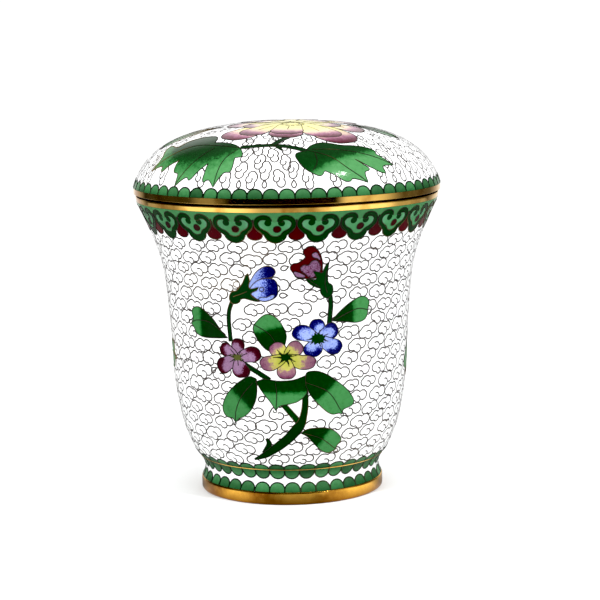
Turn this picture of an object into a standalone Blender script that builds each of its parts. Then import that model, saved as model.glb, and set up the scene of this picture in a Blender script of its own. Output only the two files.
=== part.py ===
"""A cloisonné lidded jar: a bell-shaped enamelled vessel on a coved foot, with brass rims and a domed lid.

Metres, +Z up. The origin is on the jar's axis, in the plane that the foot stands on.
Every piece is turned about +Z from a section, a closed list of (radius, height) points.
"""

import math

import bmesh
import bpy

# Driving dimensions of the foot, whose cove is narrowest a little below the middle
FOOT_DIAMETER = 0.0600
FOOT_RIM_HEIGHT = 0.0040
FOOT_RIM_LEDGE = 0.0004
FOOT_RING_HEIGHT = 0.00725
FOOT_RING_WALL = 0.0019
FOOT_RING_SPREAD = 0.0007
COVE_DEPTH = 0.00095
COVE_HEIGHT = 0.0031

# Driving dimensions of the vessel
BODY_HEIGHT = 0.0840
BODY_SEAT_OVERHANG = 0.00015
BODY_HIP_DIAMETER = 0.0679
BODY_BELLY_DIAMETER = 0.0746
BODY_WAIST_DIAMETER = 0.0782
BODY_FLARE_DIAMETER = 0.0839
BODY_MOUTH_DIAMETER = 0.0984
BODY_WALL = 0.0020
BODY_FLOOR = 0.0022
BODY_INNER_CORNER = 0.0060

# Where those diameters lie, as shares of the vessel's height
HIP_SHARE = 0.075
BELLY_SHARE = 0.229
WAIST_SHARE = 0.514
FLARE_SHARE = 0.788

# The vessel's lean at each end, as a ratio of radius to height
SEAT_LEAN_RATIO = 0.97
MOUTH_LEAN_RATIO = 0.49

# Driving dimensions of the mouth and the lid
MOUTH_RIM_HEIGHT = 0.0015
MOUTH_RIM_OVERHANG = 0.0004
LID_RIM_HEIGHT = 0.00245
LID_RIM_OVERHANG = 0.0004
LID_RIM_FLANGE = 0.0012
LID_RIM_LEDGE = 0.0011
COLLAR_DEPTH = 0.0045
COLLAR_WALL = 0.0012
DOME_HEIGHT = 0.0201
DOME_SETBACK = 0.0001
DOME_WALL = 0.0020

# The dome's outline, as shares of its radius and height: its shoulder's lean and rise, and its crown's reach
DOME_LEAN_SHARE = 0.075
DOME_RISE_SHARE = 0.595
DOME_CROWN_SHARE = 0.70

# Fits
SEAT_GAP = 0.0003
COLLAR_CLEARANCE = 0.0004
COLLAR_WALL_CLEARANCE = 0.0008

# Edge roundings, and the most of a side that one may take
RIM_FILLET = 0.0004
FOOT_FILLET = 0.0007
FILLET_SHARE = 0.45

# How finely the pieces are turned: around, and along each span of the vessel and each curve
SEGMENTS = 48
BODY_SPAN_STEPS = (4, 3, 2, 3, 3)
DOME_STEPS = 11
COVE_STEPS = 7
CORNER_STEPS = 4
FILLET_STEPS = 2

# The distance within which the spin's last points merge with its first, and the angle of a sharp edge
MERGE_DISTANCE = 1e-7
SHARP_ANGLE = math.radians(35)

# Heights where the pieces meet, from the ground up
FOOT_RING_BASE = FOOT_RIM_HEIGHT + SEAT_GAP
FOOT_RING_TOP = FOOT_RING_BASE + FOOT_RING_HEIGHT
BODY_BASE = FOOT_RING_TOP + SEAT_GAP
BODY_TOP = BODY_BASE + BODY_HEIGHT
MOUTH_RIM_BASE = BODY_TOP + SEAT_GAP
MOUTH_RIM_TOP = MOUTH_RIM_BASE + MOUTH_RIM_HEIGHT
LID_RIM_BASE = MOUTH_RIM_TOP + SEAT_GAP
LID_RIM_TOP = LID_RIM_BASE + LID_RIM_HEIGHT
DOME_BASE = LID_RIM_TOP + SEAT_GAP

# Radii that follow from the foot's diameter and from the mouth's
FOOT_RING_BASE_RADIUS = FOOT_DIAMETER / 2 - FOOT_RIM_LEDGE
FOOT_RING_TOP_RADIUS = FOOT_RING_BASE_RADIUS + FOOT_RING_SPREAD
COVE_RADIUS = FOOT_RING_BASE_RADIUS - COVE_DEPTH
FOOT_HOLLOW_RADIUS = COVE_RADIUS - FOOT_RING_WALL
BODY_SEAT_RADIUS = FOOT_RING_TOP_RADIUS + BODY_SEAT_OVERHANG
MOUTH_RIM_RADIUS = BODY_MOUTH_DIAMETER / 2 + MOUTH_RIM_OVERHANG
LID_RIM_RADIUS = MOUTH_RIM_RADIUS + LID_RIM_OVERHANG
DOME_RADIUS = LID_RIM_RADIUS - DOME_SETBACK
LID_LIP_RADIUS = DOME_RADIUS - DOME_WALL - LID_RIM_LEDGE

# Finishes: colour, roughness and metallic value
WHITE_ENAMEL = ("white_enamel", (0.90, 0.90, 0.88), 0.14, 0.0)
GREEN_ENAMEL = ("green_enamel", (0.09, 0.25, 0.11), 0.16, 0.0)
GILT_BRASS = ("gilt_brass", (0.72, 0.45, 0.13), 0.28, 1.0)


def clear_scene():
    """Removes whatever objects the file holds."""
    for item in list(bpy.data.objects):
        bpy.data.objects.remove(item)


def principled(name, colour, roughness, metallic):
    """A Principled material of one colour."""
    material = bpy.data.materials.new(name)
    material.use_nodes = True
    shader = material.node_tree.nodes["Principled BSDF"]
    shader.inputs["Base Color"].default_value = (*colour, 1.0)
    shader.inputs["Roughness"].default_value = roughness
    shader.inputs["Metallic"].default_value = metallic
    return material


def smooth_curve(stations, leans, steps):
    """Points of a smooth outline through (radius, height) stations, leaning as asked at its two ends.

    The outline takes as many steps between two stations as the list of steps says.
    """
    slopes = [leans[0]]
    for before, here, after in zip(stations, stations[1:], stations[2:]):
        low = (here[0] - before[0]) / (here[1] - before[1])
        high = (after[0] - here[0]) / (after[1] - here[1])
        share = (here[1] - before[1]) / (after[1] - before[1])
        slopes.append(low * (1 - share) + high * share)
    slopes.append(leans[1])
    points = [stations[0]]
    for span, ((r0, z0), (r1, z1)) in enumerate(zip(stations, stations[1:])):
        length = z1 - z0
        for step in range(1, steps[span] + 1):
            t = step / steps[span]
            radius = (2 * t**3 - 3 * t**2 + 1) * r0 + (t**3 - 2 * t**2 + t) * length * slopes[span]
            radius += (3 * t**2 - 2 * t**3) * r1 + (t**3 - t**2) * length * slopes[span + 1]
            points.append((radius, z0 + length * t))
    return points


def bezier(corners, steps):
    """Points along a Bézier curve with any number of control corners."""
    points = []
    for step in range(steps + 1):
        rest = list(corners)
        t = step / steps
        while len(rest) > 1:
            rest = [(a[0] + (b[0] - a[0]) * t, a[1] + (b[1] - a[1]) * t) for a, b in zip(rest, rest[1:])]
        points.append(rest[0])
    return points


def filleted(corners, steps=FILLET_STEPS):
    """A closed section from (radius, height, fillet) corners, each rounded by its own fillet."""
    section = []
    for index, (r, z, fillet) in enumerate(corners):
        if fillet == 0:
            section.append((r, z))
            continue
        ends = []
        for other in (corners[index - 1], corners[(index + 1) % len(corners)]):
            reach = math.hypot(other[0] - r, other[1] - z)
            share = min(fillet, reach * FILLET_SHARE) / reach
            ends.append((r + (other[0] - r) * share, z + (other[1] - z) * share))
        section.extend(bezier([ends[0], (r, z), ends[1]], steps))
    return section


def inset(outline, wall):
    """The outline moved square to itself, towards the axis and the inside, by the wall's thickness."""
    moved = []
    for index, (r, z) in enumerate(outline):
        before = outline[max(index - 1, 0)]
        after = outline[min(index + 1, len(outline) - 1)]
        along_r, along_z = after[0] - before[0], after[1] - before[1]
        length = math.hypot(along_r, along_z)
        moved.append((r - wall * along_z / length, z + wall * along_r / length))
    return moved


def radius_at(outline, height):
    """The outline's radius at a height, between its points."""
    for (r0, z0), (r1, z1) in zip(outline, outline[1:]):
        if z0 <= height <= z1:
            return r0 + (r1 - r0) * (height - z0) / (z1 - z0)
    return outline[-1][0]


def turned(name, section, finish):
    """One closed piece: the section spun once about +Z, in the finish's own material."""
    mesh = bpy.data.meshes.new(name)
    shape = bmesh.new()
    corners = [shape.verts.new((r, 0.0, z)) for r, z in section]
    edges = [shape.edges.new(pair) for pair in zip(corners, corners[1:])]
    if section[0][0] > 0 or section[-1][0] > 0:
        edges.append(shape.edges.new((corners[-1], corners[0])))
    bmesh.ops.spin(
        shape,
        geom=corners + edges,
        cent=(0, 0, 0),
        axis=(0, 0, 1),
        angle=math.tau,
        steps=SEGMENTS,
        use_merge=True,
    )
    bmesh.ops.remove_doubles(shape, verts=shape.verts, dist=MERGE_DISTANCE)
    bmesh.ops.recalc_face_normals(shape, faces=shape.faces)
    bmesh.ops.triangulate(shape, faces=shape.faces)
    shape.to_mesh(mesh)
    shape.free()
    mesh.shade_smooth()
    mesh.set_sharp_from_angle(angle=SHARP_ANGLE)
    mesh.materials.append(principled(*finish))
    piece = bpy.data.objects.new(name, mesh)
    bpy.context.collection.objects.link(piece)
    return piece


def foot_rim():
    """The brass band that the jar stands on, flat underneath."""
    outer = FOOT_DIAMETER / 2
    return filleted(
        [
            (FOOT_HOLLOW_RADIUS, 0.0, RIM_FILLET),
            (outer, 0.0, FOOT_FILLET),
            (outer, FOOT_RIM_HEIGHT, RIM_FILLET),
            (FOOT_HOLLOW_RADIUS, FOOT_RIM_HEIGHT, 0),
        ]
    )


def foot_ring():
    """The enamelled foot: a cove outside, with its narrowest place between the brass band and the body."""
    below = FOOT_RING_BASE_RADIUS - COVE_RADIUS
    above = FOOT_RING_TOP_RADIUS - COVE_RADIUS
    outer = []
    for step in range(COVE_STEPS + 1):
        rise = FOOT_RING_HEIGHT * step / COVE_STEPS - COVE_HEIGHT
        swell, reach = (above, FOOT_RING_HEIGHT - COVE_HEIGHT) if rise > 0 else (below, COVE_HEIGHT)
        outer.append((COVE_RADIUS + swell * (rise / reach) ** 2, FOOT_RING_BASE + COVE_HEIGHT + rise))
    return outer + [(FOOT_HOLLOW_RADIUS, FOOT_RING_TOP), (FOOT_HOLLOW_RADIUS, FOOT_RING_BASE)]


def body_outline():
    """The vessel's bell-shaped outside, from its seat on the foot to the mouth."""
    stations = [
        (BODY_SEAT_RADIUS, BODY_BASE),
        (BODY_HIP_DIAMETER / 2, BODY_BASE + BODY_HEIGHT * HIP_SHARE),
        (BODY_BELLY_DIAMETER / 2, BODY_BASE + BODY_HEIGHT * BELLY_SHARE),
        (BODY_WAIST_DIAMETER / 2, BODY_BASE + BODY_HEIGHT * WAIST_SHARE),
        (BODY_FLARE_DIAMETER / 2, BODY_BASE + BODY_HEIGHT * FLARE_SHARE),
        (BODY_MOUTH_DIAMETER / 2, BODY_TOP),
    ]
    return smooth_curve(stations, (SEAT_LEAN_RATIO, MOUTH_LEAN_RATIO), BODY_SPAN_STEPS)


def body_inside():
    """The inside of the vessel's wall, from the top of its rounded corner to the mouth."""
    corner_top = BODY_BASE + BODY_FLOOR + BODY_INNER_CORNER
    moved = inset(body_outline(), BODY_WALL)
    wall = [point for point in moved if corner_top < point[1] < BODY_TOP]
    mouth = (radius_at(moved, BODY_TOP), BODY_TOP)
    return [(radius_at(moved, corner_top), corner_top)] + wall + [mouth]


def jar_body():
    """The hollow vessel: its outside, its mouth, its inside, a rounded corner and the floor."""
    inside = body_inside()
    floor = BODY_BASE + BODY_FLOOR
    corner = inside[0]
    lean = (inside[1][0] - corner[0]) / (inside[1][1] - corner[1])
    foot_of_wall = (corner[0] - lean * BODY_INNER_CORNER, floor)
    floor_edge = (foot_of_wall[0] - BODY_INNER_CORNER, floor)
    rounding = bezier([floor_edge, foot_of_wall, corner], CORNER_STEPS)
    inner = rounding[:-1] + inside
    return [(0.0, BODY_BASE)] + body_outline() + inner[::-1] + [(0.0, floor)]


def collar_radius():
    """The lid collar's outer radius: its lower end stays clear of the vessel's flaring wall."""
    wall = radius_at(body_inside(), MOUTH_RIM_TOP - COLLAR_DEPTH)
    return wall - COLLAR_WALL_CLEARANCE


def mouth_rim():
    """The brass ring on the vessel's wall, as wide as it takes to guide the lid's collar."""
    inner = collar_radius() + COLLAR_CLEARANCE
    lower = BODY_MOUTH_DIAMETER / 2
    return filleted(
        [
            (inner, MOUTH_RIM_BASE, RIM_FILLET),
            (lower, MOUTH_RIM_BASE, 0),
            (MOUTH_RIM_RADIUS, MOUTH_RIM_TOP, RIM_FILLET),
            (inner, MOUTH_RIM_TOP, RIM_FILLET),
        ]
    )


def lid_rim():
    """The brass ring under the lid: a band that the dome sits on, a flange, and the collar inside the mouth.

    The collar's lower end is its depth below the mouth rim's top.
    """
    collar_outer = collar_radius()
    collar_inner = collar_outer - COLLAR_WALL
    flange_top = LID_RIM_BASE + LID_RIM_FLANGE
    return filleted(
        [
            (collar_inner, MOUTH_RIM_TOP - COLLAR_DEPTH, 0),
            (collar_outer, MOUTH_RIM_TOP - COLLAR_DEPTH, RIM_FILLET),
            (collar_outer, LID_RIM_BASE, 0),
            (LID_RIM_RADIUS, LID_RIM_BASE, RIM_FILLET),
            (LID_RIM_RADIUS, LID_RIM_TOP, RIM_FILLET),
            (LID_LIP_RADIUS, LID_RIM_TOP, 0),
            (LID_LIP_RADIUS, flange_top, 0),
            (collar_inner, flange_top, 0),
        ]
    )


def dome_outline():
    """The lid's outside, from its lower edge to the middle of its crown."""
    edge = (DOME_RADIUS, DOME_BASE)
    shoulder = (DOME_RADIUS * (1 - DOME_LEAN_SHARE), DOME_BASE + DOME_HEIGHT * DOME_RISE_SHARE)
    crown = (DOME_RADIUS * DOME_CROWN_SHARE, DOME_BASE + DOME_HEIGHT)
    return bezier([edge, shoulder, crown, (0.0, DOME_BASE + DOME_HEIGHT)], DOME_STEPS)


def lid():
    """The hollow dome: its outside, and its inside a wall's thickness below."""
    outside = dome_outline()
    moved = inset(outside, DOME_WALL)
    inside = [(moved[0][0], DOME_BASE)] + [point for point in moved[1:-1] if point[1] > DOME_BASE]
    return outside + [(0.0, DOME_BASE + DOME_HEIGHT - DOME_WALL)] + inside[::-1]


def build():
    """Makes the jar's pieces from the ground up."""
    clear_scene()
    turned("foot_rim", foot_rim(), GILT_BRASS)
    turned("foot_ring", foot_ring(), GREEN_ENAMEL)
    turned("jar_body", jar_body(), WHITE_ENAMEL)
    turned("mouth_rim", mouth_rim(), GILT_BRASS)
    turned("lid_rim", lid_rim(), GILT_BRASS)
    turned("lid", lid(), WHITE_ENAMEL)


build()
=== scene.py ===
"""The looks of a cloisonné lidded jar: enamel cells and bent wires on its shells, and its brass rims.

Metres, +Z up. The ornament is drawn in millimetres on two kinds of chart. A band chart gives the distance
around and the distance up the outline; a plan chart is the lid rolled flat from its crown. One node group
wraps either chart onto its turned surface.
"""

import logging
import math
import random
from dataclasses import dataclass, field, replace
from enum import Enum
from typing import Any, Callable, Iterable, Optional, Sequence, Union

import bmesh
import bpy
from mathutils import Matrix, Vector
from mathutils.geometry import delaunay_2d_cdt


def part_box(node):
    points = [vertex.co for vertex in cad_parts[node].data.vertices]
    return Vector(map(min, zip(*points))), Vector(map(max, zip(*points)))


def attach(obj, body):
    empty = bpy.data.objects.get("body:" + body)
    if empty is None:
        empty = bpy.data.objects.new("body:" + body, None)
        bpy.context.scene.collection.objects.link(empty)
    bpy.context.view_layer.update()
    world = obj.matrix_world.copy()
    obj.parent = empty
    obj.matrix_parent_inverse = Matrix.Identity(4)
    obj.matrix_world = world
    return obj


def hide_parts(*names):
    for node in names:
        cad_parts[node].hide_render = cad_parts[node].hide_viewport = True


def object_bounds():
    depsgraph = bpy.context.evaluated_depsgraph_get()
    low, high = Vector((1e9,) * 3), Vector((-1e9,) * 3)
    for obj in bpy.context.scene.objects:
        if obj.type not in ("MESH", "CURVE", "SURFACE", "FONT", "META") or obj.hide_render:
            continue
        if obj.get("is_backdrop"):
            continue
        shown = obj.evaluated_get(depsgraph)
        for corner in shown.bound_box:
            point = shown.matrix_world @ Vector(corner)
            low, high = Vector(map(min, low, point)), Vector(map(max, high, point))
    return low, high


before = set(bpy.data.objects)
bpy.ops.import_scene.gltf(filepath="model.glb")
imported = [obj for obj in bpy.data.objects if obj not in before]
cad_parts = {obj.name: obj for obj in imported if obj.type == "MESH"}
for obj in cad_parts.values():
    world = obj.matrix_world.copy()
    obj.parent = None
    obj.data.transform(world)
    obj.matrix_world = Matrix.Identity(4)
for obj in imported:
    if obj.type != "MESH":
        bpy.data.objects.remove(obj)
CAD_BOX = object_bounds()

LOG = logging.getLogger("jar")
BODY = "root"
MM = 0.001

Point = tuple[float, ...]
Line = Sequence[Point]
Colour = tuple[float, float, float]
Shade = Callable[[float, float], float]
Finish = Union["Enamel", "Gilt"]

# How finely the shells are turned, and how far apart the points of cells and wires lie, in millimetres
TURNED_SEGMENTS = 192
OUTLINE_STEPS = 16
FILLET_STEPS = 4
CELL_SPACING = 1.35
WIRE_SPACING = 0.75
SLAB_DEPTH = 0.16

# A fillet's longest share of an edge, and how far out the point beside it lies, as a share of the fillet
LONGEST_FILLET = 0.48
BESIDE_FILLET = 1.4

# The lifts over the shell, in millimetres: the lowest cells, each cell over another, and the tops of
# the wires and of the clouds
CELL_LIFT = 0.05
LAYER_STEP = 0.006
WIRE_LIFT = 0.15
CLOUD_LIFT = 0.02
MERGE_DISTANCE = 1e-7
NEARLY_NOTHING = 1e-6
LEVEL_NORMAL = 0.9
SHARP_ANGLE = math.radians(38)


class Slot(Enum):
    """The record's material slots."""

    WHITE = "white_enamel"
    GREEN = "green_enamel"
    BRASS = "gilt_brass"


def srgb(red: int, green: int, blue: int) -> Colour:
    """A linear colour from the 0 to 255 values that a picture shows."""

    def linear(value: int) -> float:
        """One channel, without its gamma."""
        share = value / 255
        return share / 12.92 if share <= 0.04045 else ((share + 0.055) / 1.055) ** 2.4

    return linear(red), linear(green), linear(blue)


# Node trees


class Tree:
    """A node tree under construction: nodes are put in with their settings and inputs in one call."""

    def __init__(self, nodes: bpy.types.NodeTree) -> None:
        """Starts on a tree that already exists."""
        self.nodes = nodes

    @classmethod
    def group(cls, name: str, kind: str, inputs: dict[str, Any], outputs: dict[str, str]) -> "Tree":
        """A new node group.

        Args:
            name: The group's name.
            kind: The type of tree, such as GeometryNodeTree.
            inputs: Each input's name, with its socket type, or with its type and its first value.
            outputs: Each output's name and socket type.

        Returns:
            The tree, with its Group Input and Group Output nodes in place.
        """
        tree = cls(bpy.data.node_groups.new(name, kind))
        for label, spec in inputs.items():
            socket_type, value = spec if isinstance(spec, tuple) else (spec, None)
            socket = tree.nodes.interface.new_socket(label, in_out="INPUT", socket_type=socket_type)
            if value is not None:
                socket.default_value = value
        for label, socket_type in outputs.items():
            tree.nodes.interface.new_socket(label, in_out="OUTPUT", socket_type=socket_type)
        tree.entry = tree.nodes.nodes.new("NodeGroupInput").outputs
        tree.exit = tree.nodes.nodes.new("NodeGroupOutput").inputs
        return tree

    def link(self, source: Any, target: bpy.types.NodeSocket) -> None:
        """Links a socket, or a node's first output, to an input."""
        self.nodes.links.new(source.outputs[0] if isinstance(source, bpy.types.Node) else source, target)

    def put(self, kind: str, inputs: Optional[dict[Any, Any]] = None, **settings: Any) -> bpy.types.Node:
        """Adds a node.

        Args:
            kind: The node's type.
            inputs: Values, sockets or nodes for its inputs, by name or number.
            settings: Its own settings, such as operation or data_type.

        Returns:
            The node.
        """
        node = self.nodes.nodes.new(kind)
        for key, value in settings.items():
            setattr(node, key, value)
        return self.fill(node, inputs or {})

    def fill(self, node: bpy.types.Node, inputs: dict[Any, Any]) -> bpy.types.Node:
        """Gives a node's inputs their values, sockets or nodes, and returns the node."""
        for key, value in inputs.items():
            if isinstance(value, (bpy.types.Node, bpy.types.NodeSocket)):
                self.link(value, node.inputs[key])
            else:
                node.inputs[key].default_value = value
        return node

    def math(self, operation: str, first: Any, second: Any = 0.0) -> bpy.types.NodeSocket:
        """The result of one Math node."""
        return self.put("ShaderNodeMath", {0: first, 1: second}, operation=operation).outputs[0]

    def use(self, group: "Tree", inputs: dict[str, Any]) -> bpy.types.Node:
        """Adds a group made before, with values or sockets for its inputs."""
        kind = "GeometryNodeGroup" if group.nodes.bl_idname == "GeometryNodeTree" else "ShaderNodeGroup"
        node = self.nodes.nodes.new(kind)
        node.node_tree = group.nodes
        return self.fill(node, inputs)

    def choose(self, switch: Any, off: Any, on: Any) -> bpy.types.Node:
        """The Switch node that gives one of two numbers."""
        return self.put("GeometryNodeSwitch", {0: switch, 1: off, 2: on}, input_type="FLOAT")

    def named(self, name: str, kind: str) -> bpy.types.NodeSocket:
        """The value of a named attribute."""
        node = self.put("GeometryNodeInputNamedAttribute", {"Name": name}, data_type=kind)
        return node.outputs["Attribute"]

    def noise(self, spot: Any, scale: Any, detail: float) -> bpy.types.NodeSocket:
        """The grey value of a Noise Texture."""
        inputs = {"Vector": spot, "Scale": scale, "Detail": detail}
        return self.put("ShaderNodeTexNoise", inputs).outputs["Fac"]

    def swing(self, value: Any, amount: Any) -> bpy.types.NodeSocket:
        """How far a value from 0 to 1 lies from the middle, times an amount."""
        return self.math("MULTIPLY", self.math("SUBTRACT", value, 0.5), amount)

    def ramp(self, value: Any, ends: tuple[Any, Any], results: tuple[float, float] = (0.0, 1.0),
             soft: bool = False) -> bpy.types.Node:
        """The Map Range node that turns the two ends into the two results."""
        inputs = {"Value": value, "From Min": ends[0], "From Max": ends[1],
                  "To Min": results[0], "To Max": results[1]}
        return self.put("ShaderNodeMapRange", inputs, interpolation_type="SMOOTHSTEP" if soft else "LINEAR")


GEOMETRY = "NodeSocketGeometry"
OBJECT = "NodeSocketObject"
FLOAT = "NodeSocketFloat"
INTEGER = "NodeSocketInt"
SWITCH = "NodeSocketBool"
MATERIAL = "NodeSocketMaterial"
COLLECTION = "NodeSocketCollection"
COLOUR = "NodeSocketColor"
VECTOR = "NodeSocketVector"


def wrap_group() -> Tree:
    """The group that wraps a chart onto a turned surface.

    A point's x and y are its place on the chart and its z is its lift. The guide is the surface's
    outline, an edge chain in the XZ plane from its lower edge up. On a band chart, x runs around from the
    bearing and y up the outline; on a plan chart, both run from the crown.

    Returns:
        The group.
    """
    kinds = {"Geometry": GEOMETRY, "Guide": OBJECT, "Plan": SWITCH, "Bearing": (FLOAT, 0.0)}
    tree = Tree.group("Wrap on a turned surface", "GeometryNodeTree", kinds, {"Geometry": GEOMETRY})
    chart = tree.put("ShaderNodeSeparateXYZ", {0: tree.put("GeometryNodeInputPosition")})
    across, up, lift = chart.outputs
    outline = tree.put("GeometryNodeObjectInfo", {"Object": tree.entry["Guide"]})
    curve = tree.put("GeometryNodeMeshToCurve", {"Mesh": outline.outputs["Geometry"]})
    length = tree.put("GeometryNodeCurveLength", {"Curve": curve})
    squares = tree.math("ADD", tree.math("MULTIPLY", across, across), tree.math("MULTIPLY", up, up))
    from_crown = tree.math("SQRT", squares)
    plan_height = tree.math("SUBTRACT", length.outputs[0], from_crown)
    height = tree.choose(tree.entry["Plan"], up, plan_height)
    sample = tree.put("GeometryNodeSampleCurve", {"Curves": curve, "Length": height}, mode="LENGTH")
    place = tree.put("ShaderNodeSeparateXYZ", {0: sample.outputs["Position"]}).outputs
    slope = tree.put("ShaderNodeSeparateXYZ", {0: sample.outputs["Tangent"]}).outputs
    start = tree.math("ADD", tree.named("bearing", "FLOAT"), tree.entry["Bearing"])
    band_turn = tree.math("ADD", start, tree.math("DIVIDE", across, place[0]))
    plan_turn = tree.math("ARCTAN2", across, tree.math("MULTIPLY", up, -1.0))
    turn = tree.choose(tree.entry["Plan"], band_turn, plan_turn)
    radius = tree.math("ADD", place[0], tree.math("MULTIPLY", slope[2], lift))
    level = tree.math("SUBTRACT", place[2], tree.math("MULTIPLY", slope[0], lift))
    east = tree.math("MULTIPLY", radius, tree.math("SINE", turn))
    south = tree.math("MULTIPLY", radius, tree.math("COSINE", turn))
    target = tree.put("ShaderNodeCombineXYZ", {0: east, 1: tree.math("MULTIPLY", south, -1.0), 2: level})
    moved = tree.put("GeometryNodeSetPosition", {"Geometry": tree.entry["Geometry"], "Position": target})
    tree.link(moved, tree.exit["Geometry"])
    return tree


def sweep_group() -> Tree:
    """The group that makes an edge chain into a wire, sunk so that its flat outer side lies on it."""
    kinds = {"Geometry": GEOMETRY, "Gauge": (FLOAT, 0.1 * MM), "Sides": (INTEGER, 3)}
    tree = Tree.group("Bend a wire", "GeometryNodeTree", kinds, {"Geometry": GEOMETRY})
    curve = tree.put("GeometryNodeMeshToCurve", {"Mesh": tree.entry["Geometry"]})
    level = tree.put("GeometryNodeSetCurveNormal", {"Curve": curve}, mode="Z_UP")
    section = tree.put("GeometryNodeCurvePrimitiveCircle",
                       {"Resolution": tree.entry["Sides"], "Radius": tree.entry["Gauge"]})
    half_side = tree.math("DIVIDE", math.pi, tree.entry["Sides"])
    rotation = tree.put("ShaderNodeCombineXYZ", {2: tree.math("SUBTRACT", -math.pi / 2, half_side)})
    drop = tree.math("MULTIPLY", tree.entry["Gauge"], tree.math("COSINE", half_side))
    sunk = tree.put("ShaderNodeCombineXYZ", {1: drop})
    turned_section = tree.put("GeometryNodeTransform", {"Geometry": section.outputs["Curve"],
                                                        "Rotation": rotation, "Translation": sunk})
    wire = tree.put("GeometryNodeCurveToMesh", {"Curve": level, "Profile Curve": turned_section,
                                                "Fill Caps": True})
    tree.link(wire, tree.exit["Geometry"])
    return tree


class Growth(Enum):
    """What a growing tree makes of the chart drawing that it is given."""

    CELLS = "enamel cells"
    WIRES = "bent wires"
    CELL_BAND = "enamel cells repeated around a band"
    WIRE_BAND = "bent wires repeated around a band"
    CLOUDS = "bent wires picked from patterns and scattered"


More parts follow.
